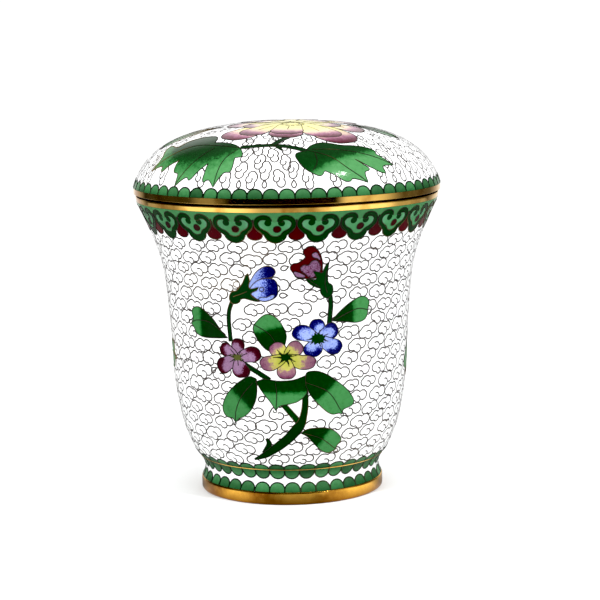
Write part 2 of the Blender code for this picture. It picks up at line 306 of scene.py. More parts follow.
class Workshop:
    """Holds the node groups, the trees that grow the ornament and the finishes, each built once."""

    def __init__(self) -> None:
        """Builds the shared groups and the five trees."""
        self.wrap = wrap_group()
        self.sweep = sweep_group()
        self.trees = {growth: self.tree(growth) for growth in Growth}
        self.glazes = Glazes()

    def material(self, finish: Finish) -> bpy.types.Material:
        """The finish's material."""
        return self.glazes.material(finish)

    def turn(self, name: str, section: Line, finish: Finish, *nodes: str) -> bpy.types.Object:
        """Turns a closed section into a dressed piece, which stands for the CAD nodes that are named."""
        return dress(turned(name, section, self.material(finish)), finish, *nodes)

    def tree(self, growth: Growth) -> Tree:
        """The modifier tree for one kind of growth, which ends in Realize Instances and Set Material."""
        kinds = {"Geometry": GEOMETRY, "Guide": OBJECT, "Plan": SWITCH, "Bearing": (FLOAT, 0.0),
                 "Material": MATERIAL}
        if growth in (Growth.WIRES, Growth.WIRE_BAND, Growth.CLOUDS):
            kinds |= {"Gauge": (FLOAT, 0.1 * MM), "Sides": (INTEGER, 3)}
        if growth in (Growth.CELL_BAND, Growth.WIRE_BAND):
            kinds |= {"Pattern": OBJECT, "Count": (INTEGER, 8), "Height": (FLOAT, 0.0),
                      "Flip": SWITCH, "Stray": (FLOAT, 0.0), "Seed": (INTEGER, 0)}
        if growth is Growth.CLOUDS:
            kinds |= {"Patterns": COLLECTION}
        tree = Tree.group(f"Grow {growth.value}", "GeometryNodeTree", kinds, {"Geometry": GEOMETRY})
        tree.nodes.is_modifier = True
        drawing: Any = tree.entry["Geometry"]
        if growth in (Growth.CELL_BAND, Growth.WIRE_BAND):
            drawing = self.around(tree)
        if growth is Growth.CLOUDS:
            drawing = self.scattered(tree)
        drawing = tree.put("GeometryNodeRealizeInstances", {"Geometry": drawing})
        if "Gauge" in kinds:
            inputs = {"Geometry": drawing, "Gauge": tree.entry["Gauge"], "Sides": tree.entry["Sides"]}
            drawing = tree.use(self.sweep, inputs)
        inputs = {"Geometry": drawing.outputs[0]}
        inputs |= {label: tree.entry[label] for label in ("Guide", "Plan", "Bearing")}
        wrapped = tree.use(self.wrap, inputs)
        dressed = tree.put("GeometryNodeSetMaterial", {"Geometry": wrapped,
                                                       "Material": tree.entry["Material"]})
        tree.link(dressed, tree.exit["Geometry"])
        return tree

    @staticmethod
    def around(tree: Tree) -> bpy.types.Node:
        """Repeats the pattern around a band, each a little off its place and with a tint of its own."""
        spots = tree.put("GeometryNodePoints", {"Count": tree.entry["Count"]})
        step = tree.math("DIVIDE", math.tau, tree.entry["Count"])
        index = tree.put("GeometryNodeInputIndex")
        off = tree.put("FunctionNodeRandomValue", {2: -1.0, 3: 1.0, "Seed": tree.entry["Seed"]},
                       data_type="FLOAT")
        stray = tree.math("MULTIPLY", off.outputs[1], tree.entry["Stray"])
        bearing = tree.math("MULTIPLY", step, tree.math("ADD", index, stray))
        placed = tree.put("GeometryNodeSetPosition", {
            "Geometry": spots, "Position": tree.put("ShaderNodeCombineXYZ", {1: tree.entry["Height"]})})
        aimed = tree.put("GeometryNodeStoreNamedAttribute",
                         {"Geometry": placed, "Name": "bearing", "Value": bearing}, data_type="FLOAT")
        tint = tree.put("FunctionNodeRandomValue",
                        {"Seed": tree.math("ADD", tree.entry["Seed"], 1.0)}, data_type="FLOAT")
        tinted = tree.put("GeometryNodeStoreNamedAttribute",
                          {"Geometry": aimed, "Name": "tint", "Value": tint.outputs[1]}, data_type="FLOAT")
        pattern = tree.put("GeometryNodeObjectInfo", {"Object": tree.entry["Pattern"]})
        angle = tree.math("MULTIPLY", tree.entry["Flip"], math.pi)
        flip = tree.put("ShaderNodeCombineXYZ", {2: angle})
        return tree.put("GeometryNodeInstanceOnPoints", {
            "Points": tinted, "Instance": pattern.outputs["Geometry"], "Rotation": flip})

    @staticmethod
    def scattered(tree: Tree) -> bpy.types.Node:
        """Puts one pattern on each point, as the point's own attributes say."""
        patterns = tree.put("GeometryNodeCollectionInfo", {
            "Collection": tree.entry["Patterns"], "Separate Children": True, "Reset Children": True})
        rotation = tree.put("ShaderNodeCombineXYZ", {2: tree.named("turn", "FLOAT")})
        return tree.put("GeometryNodeInstanceOnPoints", {
            "Points": tree.entry["Geometry"], "Instance": patterns, "Pick Instance": True,
            "Instance Index": tree.named("pick", "INT"), "Scale": tree.named("size", "FLOAT_VECTOR"),
            "Rotation": rotation})

    def grow(self, name: str, growth: Growth, mesh: bpy.types.Mesh,
             inputs: dict[str, Any]) -> bpy.types.Object:
        """Grows one piece from a chart drawing.

        Args:
            name: The piece's name.
            growth: Which tree makes it.
            mesh: The drawing that the tree starts from.
            inputs: The tree's inputs, by name.

        Returns:
            The piece, a plain mesh object.
        """
        seed = place(f"{name} drawing", mesh)
        modifier = seed.modifiers.new("growth", "NODES")
        modifier.node_group = self.trees[growth].nodes
        for item in modifier.node_group.interface.items_tree:
            if item.in_out == "INPUT" and item.name in inputs:
                modifier[item.identifier] = inputs[item.name]
        depsgraph = bpy.context.evaluated_depsgraph_get()
        grown = bpy.data.meshes.new_from_object(seed.evaluated_get(depsgraph), depsgraph=depsgraph)
        bpy.data.objects.remove(seed)
        grown.name = name
        return place(name, grown)


# Drawing on a chart


def place(name: str, mesh: bpy.types.Mesh) -> bpy.types.Object:
    """An object at the origin for a mesh."""
    item = bpy.data.objects.new(name, mesh)
    bpy.context.scene.collection.objects.link(item)
    return item


def smooth(points: Line, closed: bool = True, spacing: float = WIRE_SPACING) -> list[Point]:
    """A smooth line through points, where a point with a third value is a corner.

    Args:
        points: The points, in millimetres.
        closed: Whether the last point joins the first.
        spacing: The most that two points of the result lie apart.

    Returns:
        The line's points, without the first one again at the end of a closed line.
    """
    count = len(points)

    def heading(index: int, leaving: bool) -> Vector:
        """The line's direction at a point, as it leaves it or reaches it."""
        here = Vector(points[index][:2])
        ends = not closed and index in (0, count - 1)
        corner = len(points[index]) > 2 or ends
        after = Vector(points[(index + 1) % count][:2])
        before = Vector(points[index - 1][:2])
        if corner:
            return ((after - here) if leaving else (here - before)).normalized()
        return (after - before).normalized()

    line: list[Point] = []
    for index in range(count if closed else count - 1):
        other = (index + 1) % count
        start, end = Vector(points[index][:2]), Vector(points[other][:2])
        reach = (end - start).length
        leave, arrive = heading(index, True) * reach, heading(other, False) * reach
        steps = max(1, math.ceil(reach / spacing))
        for step in range(steps):
            t = step / steps
            spot = start * (2 * t**3 - 3 * t**2 + 1) + leave * (t**3 - 2 * t**2 + t)
            spot += end * (3 * t**2 - 2 * t**3) + arrive * (t**3 - t**2)
            line.append(tuple(spot))
    if not closed:
        line.append(tuple(points[-1][:2]))
    return line


def arc_through(start: Point, middle: Point, end: Point, steps: int) -> list[Point]:
    """Points on the circle's arc from start to end by way of the middle, without the last one."""
    (ax, ay), (bx, by), (cx, cy) = start, middle, end
    twice = 2 * (ax * (by - cy) + bx * (cy - ay) + cx * (ay - by))
    squares = ax**2 + ay**2, bx**2 + by**2, cx**2 + cy**2
    ox = (squares[0] * (by - cy) + squares[1] * (cy - ay) + squares[2] * (ay - by)) / twice
    oy = (squares[0] * (cx - bx) + squares[1] * (ax - cx) + squares[2] * (bx - ax)) / twice
    radius = math.hypot(ax - ox, ay - oy)
    first = math.atan2(ay - oy, ax - ox)
    sweep = (math.atan2(cy - oy, cx - ox) - first) % math.tau
    if (math.atan2(by - oy, bx - ox) - first) % math.tau > sweep:
        sweep -= math.tau
    angles = (first + sweep * step / steps for step in range(steps))
    return [(ox + radius * math.cos(angle), oy + radius * math.sin(angle)) for angle in angles]


def inside(point: Point, outline: Line) -> bool:
    """Whether a point lies inside a closed outline."""
    x, y = point[:2]
    within = False
    for (ax, ay), (bx, by) in zip(outline, list(outline[1:]) + [outline[0]]):
        if (ay > y) != (by > y) and x < (bx - ax) * (y - ay) / (by - ay) + ax:
            within = not within
    return within


def mirrored(points: Line) -> list[Point]:
    """The points on the other side of the chart's middle line, in the same turning sense."""
    return [(-point[0], *point[1:]) for point in reversed(points)]


def ribbon(centre: Line, widths: Sequence[float]) -> list[Point]:
    """The closed outline of a strip along a centre line, as wide along it as its list of widths says."""
    line = smooth(centre, closed=False)
    left: list[Point] = []
    right: list[Point] = []
    for index, (x, y) in enumerate(line):
        before, after = line[max(index - 1, 0)], line[min(index + 1, len(line) - 1)]
        heading = Vector((after[0] - before[0], after[1] - before[1])).normalized()
        along = index / (len(line) - 1) * (len(widths) - 1)
        low = min(int(along), len(widths) - 2) if len(widths) > 1 else 0
        width = widths[low] + (widths[min(low + 1, len(widths) - 1)] - widths[low]) * (along - low)
        left.append((x - heading.y * width / 2, y + heading.x * width / 2))
        right.append((x + heading.y * width / 2, y - heading.x * width / 2))
    return right + left[::-1]


@dataclass
class Cell:
    """One enamel cell on a chart, in millimetres: its outline, and how its shade changes over it."""

    outline: list[Point]
    shade: Shade = lambda x, y: 0.0
    tint: float = 0.5
    spacing: float = CELL_SPACING


@dataclass
class Drawing:
    """Cells and wires gathered on one chart, at one lift over the surface, in millimetres."""

    lift: float
    cells: list[Cell] = field(default_factory=list)
    wires: list[list[Point]] = field(default_factory=list)

    def cell_mesh(self, name: str) -> bpy.types.Mesh:
        """A closed slab for each cell, with its shade and tint as attributes."""
        shape = bmesh.new()
        shade = shape.verts.layers.float.new("shade")
        tint = shape.verts.layers.float.new("tint")
        for cell in self.cells:
            corners, faces = triangulated(cell.outline, cell.spacing)
            levels = []
            for height in (self.lift, self.lift - SLAB_DEPTH):
                level = [shape.verts.new((x * MM, y * MM, height * MM)) for x, y in corners]
                for vertex, (x, y) in zip(level, corners):
                    vertex[shade] = cell.shade(x, y)
                    vertex[tint] = cell.tint
                levels.append(level)
            top, bottom = levels
            edges: dict[tuple[int, int], int] = {}
            for face in faces:
                shape.faces.new([top[i] for i in face])
                shape.faces.new([bottom[i] for i in reversed(face)])
                for pair in zip(face, face[1:] + face[:1]):
                    edges[pair] = edges.get(pair, 0) + 1
            for first, second in edges:
                if (second, first) not in edges:
                    shape.faces.new((top[second], top[first], bottom[first], bottom[second]))
        mesh = bpy.data.meshes.new(name)
        shape.to_mesh(mesh)
        shape.free()
        return mesh

    def wire_mesh(self, name: str) -> bpy.types.Mesh:
        """An edge chain for each wire, where the wires' tops lie."""
        return chains(name, self.wires, WIRE_LIFT)

    def outline_wires(self) -> None:
        """Runs a closed wire around each cell."""
        self.wires.extend(cell.outline + cell.outline[:1] for cell in self.cells)


def chains(name: str, wires: Iterable[Line], lift: float) -> bpy.types.Mesh:
    """A mesh of edge chains, closed where a wire's last point is its first.

    Args:
        name: The mesh's name.
        wires: Each wire's points, in millimetres.
        lift: Their lift over the chart, in millimetres.

    Returns:
        The mesh.
    """
    places: list[tuple[float, float, float]] = []
    edges: list[tuple[int, int]] = []
    for wire in wires:
        first = len(places)
        closed = math.dist(wire[0][:2], wire[-1][:2]) < MM
        points = wire[:-1] if closed else wire
        places.extend((x * MM, y * MM, lift * MM) for x, y in points)
        edges.extend((first + i, first + i + 1) for i in range(len(points) - 1))
        if closed:
            edges.append((len(places) - 1, first))
    mesh = bpy.data.meshes.new(name)
    mesh.from_pydata(places, edges, [])
    return mesh


def triangulated(outline: Line, spacing: float) -> tuple[list[Point], list[list[int]]]:
    """Even triangles over an outline, so that the cell can follow a curved surface.

    Args:
        outline: The closed outline, in millimetres.
        spacing: How far apart the points inside it lie.

    Returns:
        The points, and the triangles as numbers of points, all turning the same way.
    """
    xs, ys = [point[0] for point in outline], [point[1] for point in outline]
    rise = spacing * math.sqrt(3) / 2
    rows = range(math.ceil((max(ys) - min(ys)) / rise) + 1)
    columns = range(math.ceil((max(xs) - min(xs)) / spacing) + 2)
    margin = spacing * 0.45
    grid = []
    for row in rows:
        y = min(ys) + row * rise
        for column in columns:
            x = min(xs) + (column - row % 2 / 2) * spacing
            near = any(math.dist((x, y), point) < margin for point in outline)
            if not near and inside((x, y), outline):
                grid.append((x, y))
    spots = [Vector(point) for point in list(outline) + grid]
    ring = list(range(len(outline)))
    points, _, faces, *_ = delaunay_2d_cdt(spots, [], [ring], 1, 1e-6)
    triangles = []
    for face in faces:
        a, b, c = (points[i] for i in face)
        turning = (b.x - a.x) * (c.y - a.y) - (b.y - a.y) * (c.x - a.x)
        triangles.append(list(face) if turning > 0 else list(reversed(face)))
    return [tuple(point) for point in points], triangles


# Turned surfaces and shells


@dataclass
class TurnedSurface:
    """A surface turned about +Z, given by its outline of (radius, height) upwards, in metres."""

    name: str
    outline: list[Point]
    along: list[float] = field(init=False)
    guide: bpy.types.Object = field(init=False)

    def __post_init__(self) -> None:
        """Adds up the distance along the outline, and makes the guide that ornament is wrapped on."""
        self.along = [0.0]
        for before, after in zip(self.outline, self.outline[1:]):
            self.along.append(self.along[-1] + math.dist(before, after))
        places = [(r, 0.0, z) for r, z in self.outline]
        edges = [(i, i + 1) for i in range(len(places) - 1)]
        mesh = bpy.data.meshes.new(f"{self.name} guide")
        mesh.from_pydata(places, edges, [])
        self.guide = place(f"{self.name} guide", mesh)

    @property
    def length(self) -> float:
        """The outline's length, in metres."""
        return self.along[-1]

    def at(self, distance: float) -> Point:
        """The (radius, height) at a distance along the outline, in metres."""
        for index in range(len(self.along) - 1):
            if distance <= self.along[index + 1]:
                share = (distance - self.along[index]) / (self.along[index + 1] - self.along[index])
                (r0, z0), (r1, z1) = self.outline[index], self.outline[index + 1]
                return r0 + (r1 - r0) * share, z0 + (z1 - z0) * share
        return self.outline[-1]

    def dismiss(self) -> None:
        """Removes the guide once the ornament has grown on it."""
        bpy.data.objects.remove(self.guide)


def shifted(outline: Line, amount: float) -> list[Point]:
    """An outline that runs upwards, moved square to itself, outwards for a positive amount."""
    moved = []
    for index, (r, z) in enumerate(outline):
        before, after = outline[max(index - 1, 0)], outline[min(index + 1, len(outline) - 1)]
        reach = math.dist(before, after)
        out = amount * (after[1] - before[1]) / reach
        down = amount * (after[0] - before[0]) / reach
        moved.append((r + out, z - down))
    return moved


def hermite(stations: Line, leans: tuple[float, float]) -> list[Point]:
    """A smooth outline through (radius, height) stations.

    Args:
        stations: The stations, from the lowest up, in metres.
        leans: The change of radius with height at the two ends.

    Returns:
        The outline's points.
    """
    slopes = [leans[0]]
    for before, here, after in zip(stations, stations[1:], stations[2:]):
        low = (here[0] - before[0]) / (here[1] - before[1])
        high = (after[0] - here[0]) / (after[1] - here[1])
        share = (here[1] - before[1]) / (after[1] - before[1])
        slopes.append(low * (1 - share) + high * share)
    slopes.append(leans[1])
    points = [stations[0]]
    for span, ((r0, z0), (r1, z1)) in enumerate(zip(stations, stations[1:])):
        rise = z1 - z0
        for step in range(1, OUTLINE_STEPS + 1):
            t = step / OUTLINE_STEPS
            radius = (2 * t**3 - 3 * t**2 + 1) * r0 + (t**3 - 2 * t**2 + t) * rise * slopes[span]
            radius += (3 * t**2 - 2 * t**3) * r1 + (t**3 - t**2) * rise * slopes[span + 1]
            points.append((radius, z0 + rise * t))
    return points


def bezier(corners: Line, steps: int, start: float = 0.0) -> list[Point]:
    """Points along a Bézier curve with any number of corners; a start below 0 runs on before the first."""
    points = []
    for step in range(steps + 1):
        rest = list(corners)
        t = start + (1 - start) * step / steps
        while len(rest) > 1:
            rest = [tuple(p + (q - p) * t for p, q in zip(a, b)) for a, b in zip(rest, rest[1:])]
        points.append(rest[0])
    return points


def rounded(corners: Line) -> list[Point]:
    """A closed section from (radius, height, fillet) corners, each rounded by its own fillet.

    A point beside each fillet keeps the flat faces' shading flat.
    """
    section: list[Point] = []
    for index, (r, z, fillet) in enumerate(corners):
        if fillet == 0:
            section.append((r, z))
            continue
        ends, beside = [], []
        for other in (corners[index - 1], corners[(index + 1) % len(corners)]):
            reach = math.dist(other[:2], (r, z))
            for amount, found in ((fillet, ends), (fillet * BESIDE_FILLET, beside)):
                share = min(amount / reach, LONGEST_FILLET)
                found.append((r + (other[0] - r) * share, z + (other[1] - z) * share))
        section.extend([beside[0], *bezier([ends[0], (r, z), ends[1]], FILLET_STEPS), beside[1]])
    return section


def turned(name: str, section: Line, material: bpy.types.Material) -> bpy.types.Object:
    """A closed section of (radius, height) points spun about +Z into a smooth piece.

    Args:
        name: The piece's name.
        section: The section, in metres; where it starts or ends on the axis it stays open there.
        material: The piece's material.

    Returns:
        The piece.
    """
    shape = bmesh.new()
    corners = [shape.verts.new((r, 0.0, z)) for r, z in section]
    edges = [shape.edges.new(pair) for pair in zip(corners, corners[1:])]
    if section[0][0] > 0 or section[-1][0] > 0:
        edges.append(shape.edges.new((corners[-1], corners[0])))
    bmesh.ops.spin(shape, geom=corners + edges, cent=(0, 0, 0), axis=(0, 0, 1), angle=math.tau,
                   steps=TURNED_SEGMENTS, use_merge=True)
    bmesh.ops.remove_doubles(shape, verts=shape.verts, dist=MERGE_DISTANCE)
    bmesh.ops.recalc_face_normals(shape, faces=shape.faces)
    mesh = bpy.data.meshes.new(name)
    shape.to_mesh(mesh)
    shape.free()
    mesh.shade_smooth()
    mesh.set_sharp_from_angle(angle=SHARP_ANGLE)
    mesh.materials.append(material)
    return place(name, mesh)


# Finishes


# Scales of the finishes' textures, finer for a larger number, and the pinholes' and patches' strengths
PORE_SCALE = 1300.0
PORE_EDGE = (0.05, 0.13)
POREFREE_SHARE = 0.86
PORE_DARKNESS = 0.22
PORE_ROUGHNESS = 0.3
PORE_DEPTH = 0.6
WAVE_SCALE = 160.0
RUN_SCALE = 700.0
GRAIN_SCALE = 3200.0
STAIN_SCALE = 900.0
STAIN_DARKNESS = 0.5
PATCH_BLUR = 0.09
WORN_ROUGHNESS = 0.08
TURNING_MARKS = (60.0, 60.0, 6000.0)
FINISH_OUTPUTS = {"Colour": COLOUR, "Roughness": FLOAT, "Normal": VECTOR}


def fired_enamel() -> Tree:
    """The group for fired enamel: mottling, each cell's own tint, pinholes and a slightly wavy polish."""
    kinds = {"Colour": COLOUR, "Tint": (FLOAT, 0.5), "Variety": (FLOAT, 0.2), "Mottle": (FLOAT, 0.1),
             "Grain": (FLOAT, 400.0), "Gloss": (FLOAT, 0.12), "Ripple": (FLOAT, 0.1)}
    tree = Tree.group("Fired enamel", "ShaderNodeTree", kinds, FINISH_OUTPUTS)
    spot = tree.put("ShaderNodeTexCoord").outputs["Object"]
    cloud = tree.noise(spot, tree.entry["Grain"], 4.0)
    cast = tree.swing(cloud, tree.entry["Mottle"])
    own = tree.swing(tree.entry["Tint"], tree.entry["Variety"])
    pores = tree.put("ShaderNodeTexVoronoi", {"Vector": spot, "Scale": PORE_SCALE})
    pore = tree.ramp(pores.outputs["Distance"], PORE_EDGE, (1.0, 0.0))
    draw = tree.put("ShaderNodeSeparateColor", {0: pores.outputs["Color"]})
    hole = tree.math("MULTIPLY", pore, tree.math("GREATER_THAN", draw, POREFREE_SHARE))
    level = tree.math("ADD", tree.math("ADD", 1.0, cast), own)
    level = tree.math("SUBTRACT", level, tree.math("MULTIPLY", hole, PORE_DARKNESS))
    colour = tree.put("ShaderNodeVectorMath", {0: tree.entry["Colour"], "Scale": level}, operation="SCALE")
    tree.link(colour, tree.exit["Colour"])
    rough = tree.math("ADD", tree.entry["Gloss"], tree.math("MULTIPLY", cloud, WORN_ROUGHNESS))
    tree.link(tree.math("ADD", rough, tree.math("MULTIPLY", hole, PORE_ROUGHNESS)), tree.exit["Roughness"])
    wave = tree.noise(spot, WAVE_SCALE, 2.0)
    height = tree.math("SUBTRACT", wave, tree.math("MULTIPLY", hole, PORE_DEPTH))
    bump = tree.put("ShaderNodeBump", {"Strength": tree.entry["Ripple"], "Distance": 0.4 * MM,
                                       "Height": height})
    tree.link(bump, tree.exit["Normal"])
    return tree


def ragged_edge() -> Tree:
    """The group that roughens a cell's shade, as wet powders run into each other and leave grains."""
    kinds = {"Shade": (FLOAT, 0.0), "Run": (FLOAT, 0.2), "Grains": (FLOAT, 0.1)}
    tree = Tree.group("Ragged edge", "ShaderNodeTree", kinds, {"Shade": FLOAT})
    spot = tree.put("ShaderNodeTexCoord").outputs["Object"]
    ran = tree.swing(tree.noise(spot, RUN_SCALE, 3.0), tree.entry["Run"])
    grained = tree.swing(tree.noise(spot, GRAIN_SCALE, 2.0), tree.entry["Grains"])
    tree.link(tree.math("ADD", tree.math("ADD", tree.entry["Shade"], ran), grained), tree.exit["Shade"])
    return tree


def gilt_wear_and_shade() -> Tree:
    """The group for gilt brass: tarnish in patches, a painted shade that darkens it towards the table, and
    fine turning marks.
    """
    kinds = {"Gilt": COLOUR, "Tarnish": COLOUR, "Amount": (FLOAT, 0.5), "Patch": (FLOAT, 40.0),
             "Gloss": (FLOAT, 0.2), "Marks": (FLOAT, 0.1), "Soiled Up To": (FLOAT, 0.0)}
    tree = Tree.group("Gilt wear", "ShaderNodeTree", kinds, FINISH_OUTPUTS)
    spot = tree.put("ShaderNodeTexCoord").outputs["Object"]
    low = tree.math("SUBTRACT", tree.entry["Amount"], PATCH_BLUR)
    high = tree.math("ADD", tree.entry["Amount"], PATCH_BLUR)
    bare = tree.ramp(tree.noise(spot, tree.entry["Patch"], 3.0), (low, high))
    stains = tree.swing(tree.noise(spot, STAIN_SCALE, 3.0), STAIN_DARKNESS)
    height = tree.put("ShaderNodeSeparateXYZ", {0: spot}).outputs["Z"]
    # Painted shade: below the given height the gilt turns towards its tarnish colour, darkest at the table.
    above = tree.ramp(height, (0.0, tree.entry["Soiled Up To"]))
    bare_and_unshaded = tree.math("MULTIPLY", tree.math("ADD", bare, stains), above)
    mask = tree.put("ShaderNodeClamp", {"Value": bare_and_unshaded})
    colours = {"Factor": mask, 6: tree.entry["Tarnish"], 7: tree.entry["Gilt"]}
    tree.link(tree.put("ShaderNodeMix", colours, data_type="RGBA").outputs[2], tree.exit["Colour"])
    dull = tree.math("MULTIPLY", tree.math("SUBTRACT", 1.0, mask), WORN_ROUGHNESS)
    tree.link(tree.math("ADD", tree.entry["Gloss"], dull), tree.exit["Roughness"])
    squeezed = tree.put("ShaderNodeMapping", {"Vector": spot, "Scale": TURNING_MARKS})
    marks = {"Strength": tree.entry["Marks"], "Distance": 0.05 * MM,
             "Height": tree.noise(squeezed, 1.0, 2.0)}
    tree.link(tree.put("ShaderNodeBump", marks), tree.exit["Normal"])
    return tree


def blank_material(name: str) -> tuple[bpy.types.Material, Tree, bpy.types.Node]:
    """A new material, its node tree and its Principled shader."""
    material = bpy.data.materials.new(name)
    material.use_nodes = True
    return material, Tree(material.node_tree), material.node_tree.nodes["Principled BSDF"]


def feed(tree: Tree, group: bpy.types.Node, shader: bpy.types.Node, specular: float) -> None:
    """Links a finish's group to the shader, and sets how strongly the polish mirrors."""
    for label, target in zip(FINISH_OUTPUTS, ("Base Color", "Roughness", "Normal")):
        tree.link(group.outputs[label], shader.inputs[target])
    shader.inputs["Specular IOR Level"].default_value = specular


class Glazes:
    """Holds the shared shader groups, and makes each finish's material once."""

    def __init__(self) -> None:
        """Builds the shared groups."""
        self.enamel = fired_enamel()
        self.ragged = ragged_edge()
        self.gilt = gilt_wear_and_shade()
        self.made: dict[str, bpy.types.Material] = {}

    def material(self, finish: Finish) -> bpy.types.Material:
        """The finish's material, made when it is first asked for."""
        if finish.name not in self.made:
            self.made[finish.name] = finish.material(self)
        return self.made[finish.name]


@dataclass(frozen=True)
class Enamel:
    """One enamel: its colours from the root of a cell to its tip, and how even and glossy it is."""

    name: str
    stops: tuple[tuple[float, Colour], ...]
    slot: Slot
    variety: float = 0.25
    mottle: float = 0.25
    grain: float = 420.0
    gloss: float = 0.10
    ripple: float = 0.10
    run: float = 0.5
    grains: float = 0.35
    specular: float = 0.05

    def material(self, glazes: Glazes) -> bpy.types.Material:
        """The Principled material, fed by the cell's shade and tint and by the shared enamel group."""
        material, tree, shader = blank_material(self.name)
        shade, tint = (tree.put("ShaderNodeAttribute", attribute_name=label).outputs["Fac"]
                       for label in ("shade", "tint"))
        edge = tree.use(glazes.ragged, {"Shade": shade, "Run": self.run, "Grains": self.grains})
        ramp = tree.put("ShaderNodeValToRGB", {0: edge.outputs["Shade"]})
        elements = ramp.color_ramp.elements
        while len(elements) < len(self.stops):
            elements.new(0.5)
        while len(elements) > max(len(self.stops), 1):
            elements.remove(elements[-1])
        for element, (position, colour) in zip(elements, self.stops):
            element.position = position
            element.color = (*colour, 1.0)
        group = tree.use(glazes.enamel, {
            "Colour": ramp.outputs["Color"], "Tint": tint, "Variety": self.variety, "Mottle": self.mottle,
            "Grain": self.grain, "Gloss": self.gloss, "Ripple": self.ripple})
        feed(tree, group, shader, self.specular)
        return material


@dataclass(frozen=True)
class Gilt:
    """One state of the gilt brass: its bright and tarnished colours and how far it is worn."""

    name: str
    bright: Colour
    tarnish: Colour
    amount: float
    patch: float = 40.0
    gloss: float = 0.2
    marks: float = 0.2
    metallic: float = 1.0
    specular: float = 0.5
    # The height up to which the gilt is painted darker towards the table, a painted shade.
    shaded_up_to: float = 0.0001
    slot: Slot = Slot.BRASS

    def material(self, glazes: Glazes) -> bpy.types.Material:
        """The Principled material, fed by the shared group for wear and painted shade."""
        material, tree, shader = blank_material(self.name)
        group = tree.use(glazes.gilt, {
            "Gilt": (*self.bright, 1.0), "Tarnish": (*self.tarnish, 1.0), "Amount": self.amount,
            "Patch": self.patch, "Gloss": self.gloss, "Marks": self.marks,
            "Soiled Up To": self.shaded_up_to})
        feed(tree, group, shader, self.specular)
        shader.inputs["Metallic"].default_value = self.metallic
        return material


WHITE = Enamel("white_enamel", ((0.0, srgb(242, 243, 243)),), Slot.WHITE, variety=0.0, mottle=0.03,
               ripple=0.07, specular=0.3)
LINING = Enamel("turquoise_lining", ((0.0, srgb(72, 158, 170)),), Slot.GREEN, variety=0.0, mottle=0.35)
SCALLOP_GREEN = Enamel("scallop_green", ((0.0, srgb(32, 76, 40)), (0.45, srgb(48, 96, 56)),
                                         (1.0, srgb(66, 114, 74))), Slot.GREEN, variety=0.8, mottle=0.4)
GROUND_GREEN = Enamel("pale_green", ((0.0, srgb(62, 118, 72)), (1.0, srgb(78, 132, 86))), Slot.GREEN,
                      variety=0.3, mottle=0.4)
FILL_GREEN = Enamel("fill_green", ((0.0, srgb(62, 120, 76)), (1.0, srgb(88, 138, 108))), Slot.GREEN,
                    variety=0.3, mottle=0.4)
DEEP_GREEN = Enamel("deep_green", ((0.0, srgb(0, 38, 4)), (1.0, srgb(8, 58, 16))), Slot.GREEN, variety=0.5)
LEAF_GREEN = Enamel("leaf_green", ((0.0, srgb(0, 36, 0)), (0.38, srgb(0, 50, 6)), (0.56, srgb(26, 92, 36)),
                                   (1.0, srgb(58, 120, 66))), Slot.GREEN, run=0.7, grains=0.45)
MAROON = Enamel("maroon", ((0.0, srgb(66, 0, 8)), (1.0, srgb(50, 0, 4))), Slot.WHITE, variety=0.5)
DOT_BROWN = Enamel("dot_brown", ((0.0, srgb(40, 8, 6)),), Slot.WHITE, variety=0.8, mottle=0.8)
BLUE = Enamel("blue_petals", ((0.0, srgb(138, 154, 208)), (0.28, srgb(106, 124, 194)),
                              (0.42, srgb(66, 84, 164)), (0.54, srgb(16, 20, 104)), (1.0, srgb(0, 0, 58))),
              Slot.WHITE, grains=2.0)
MAUVE = Enamel("mauve_petals", ((0.0, srgb(132, 102, 130)), (0.3, srgb(110, 76, 106)),
                                (0.44, srgb(92, 48, 74)), (0.56, srgb(60, 4, 20)), (1.0, srgb(42, 0, 8))),
               Slot.WHITE, grains=1.4)
YELLOW = Enamel("yellow_petals", ((0.0, srgb(88, 116, 34)), (0.25, srgb(158, 160, 64)),
                                  (0.54, srgb(170, 164, 84)), (0.66, srgb(134, 98, 104)),
                                  (0.88, srgb(114, 74, 94)), (1.0, srgb(92, 44, 66))),
                Slot.WHITE, grains=0.4)
PEONY = Enamel("peony_petals", ((0.0, srgb(214, 206, 84)), (0.50, srgb(226, 218, 124)),
                                (0.70, srgb(214, 186, 160)), (0.81, srgb(150, 92, 120)),
                                (0.91, srgb(92, 22, 48)), (1.0, srgb(66, 0, 18))),
               Slot.WHITE, run=0.16, grains=0.16, specular=0.45)
EYE_GREEN = Enamel("flower_eye", ((0.0, srgb(2, 34, 4)), (1.0, srgb(24, 60, 14))), Slot.GREEN)
EYE_OLIVE = Enamel("pale_eye", ((0.0, srgb(74, 78, 36)),), Slot.GREEN)
RIM_GILT = Gilt("rim_gilt", (0.88, 0.54, 0.13), (0.48, 0.22, 0.03), 0.45, patch=90.0, gloss=0.07,
                marks=0.02)
# A painted shadow: near-black gilt for the lid ring's rebate, standing in for the shade in the gap under the
# lid.
SEAT_SHADE = Gilt("seat_grime", (0.03, 0.02, 0.01), (0.010, 0.007, 0.004), 0.50, patch=90.0, gloss=0.5)
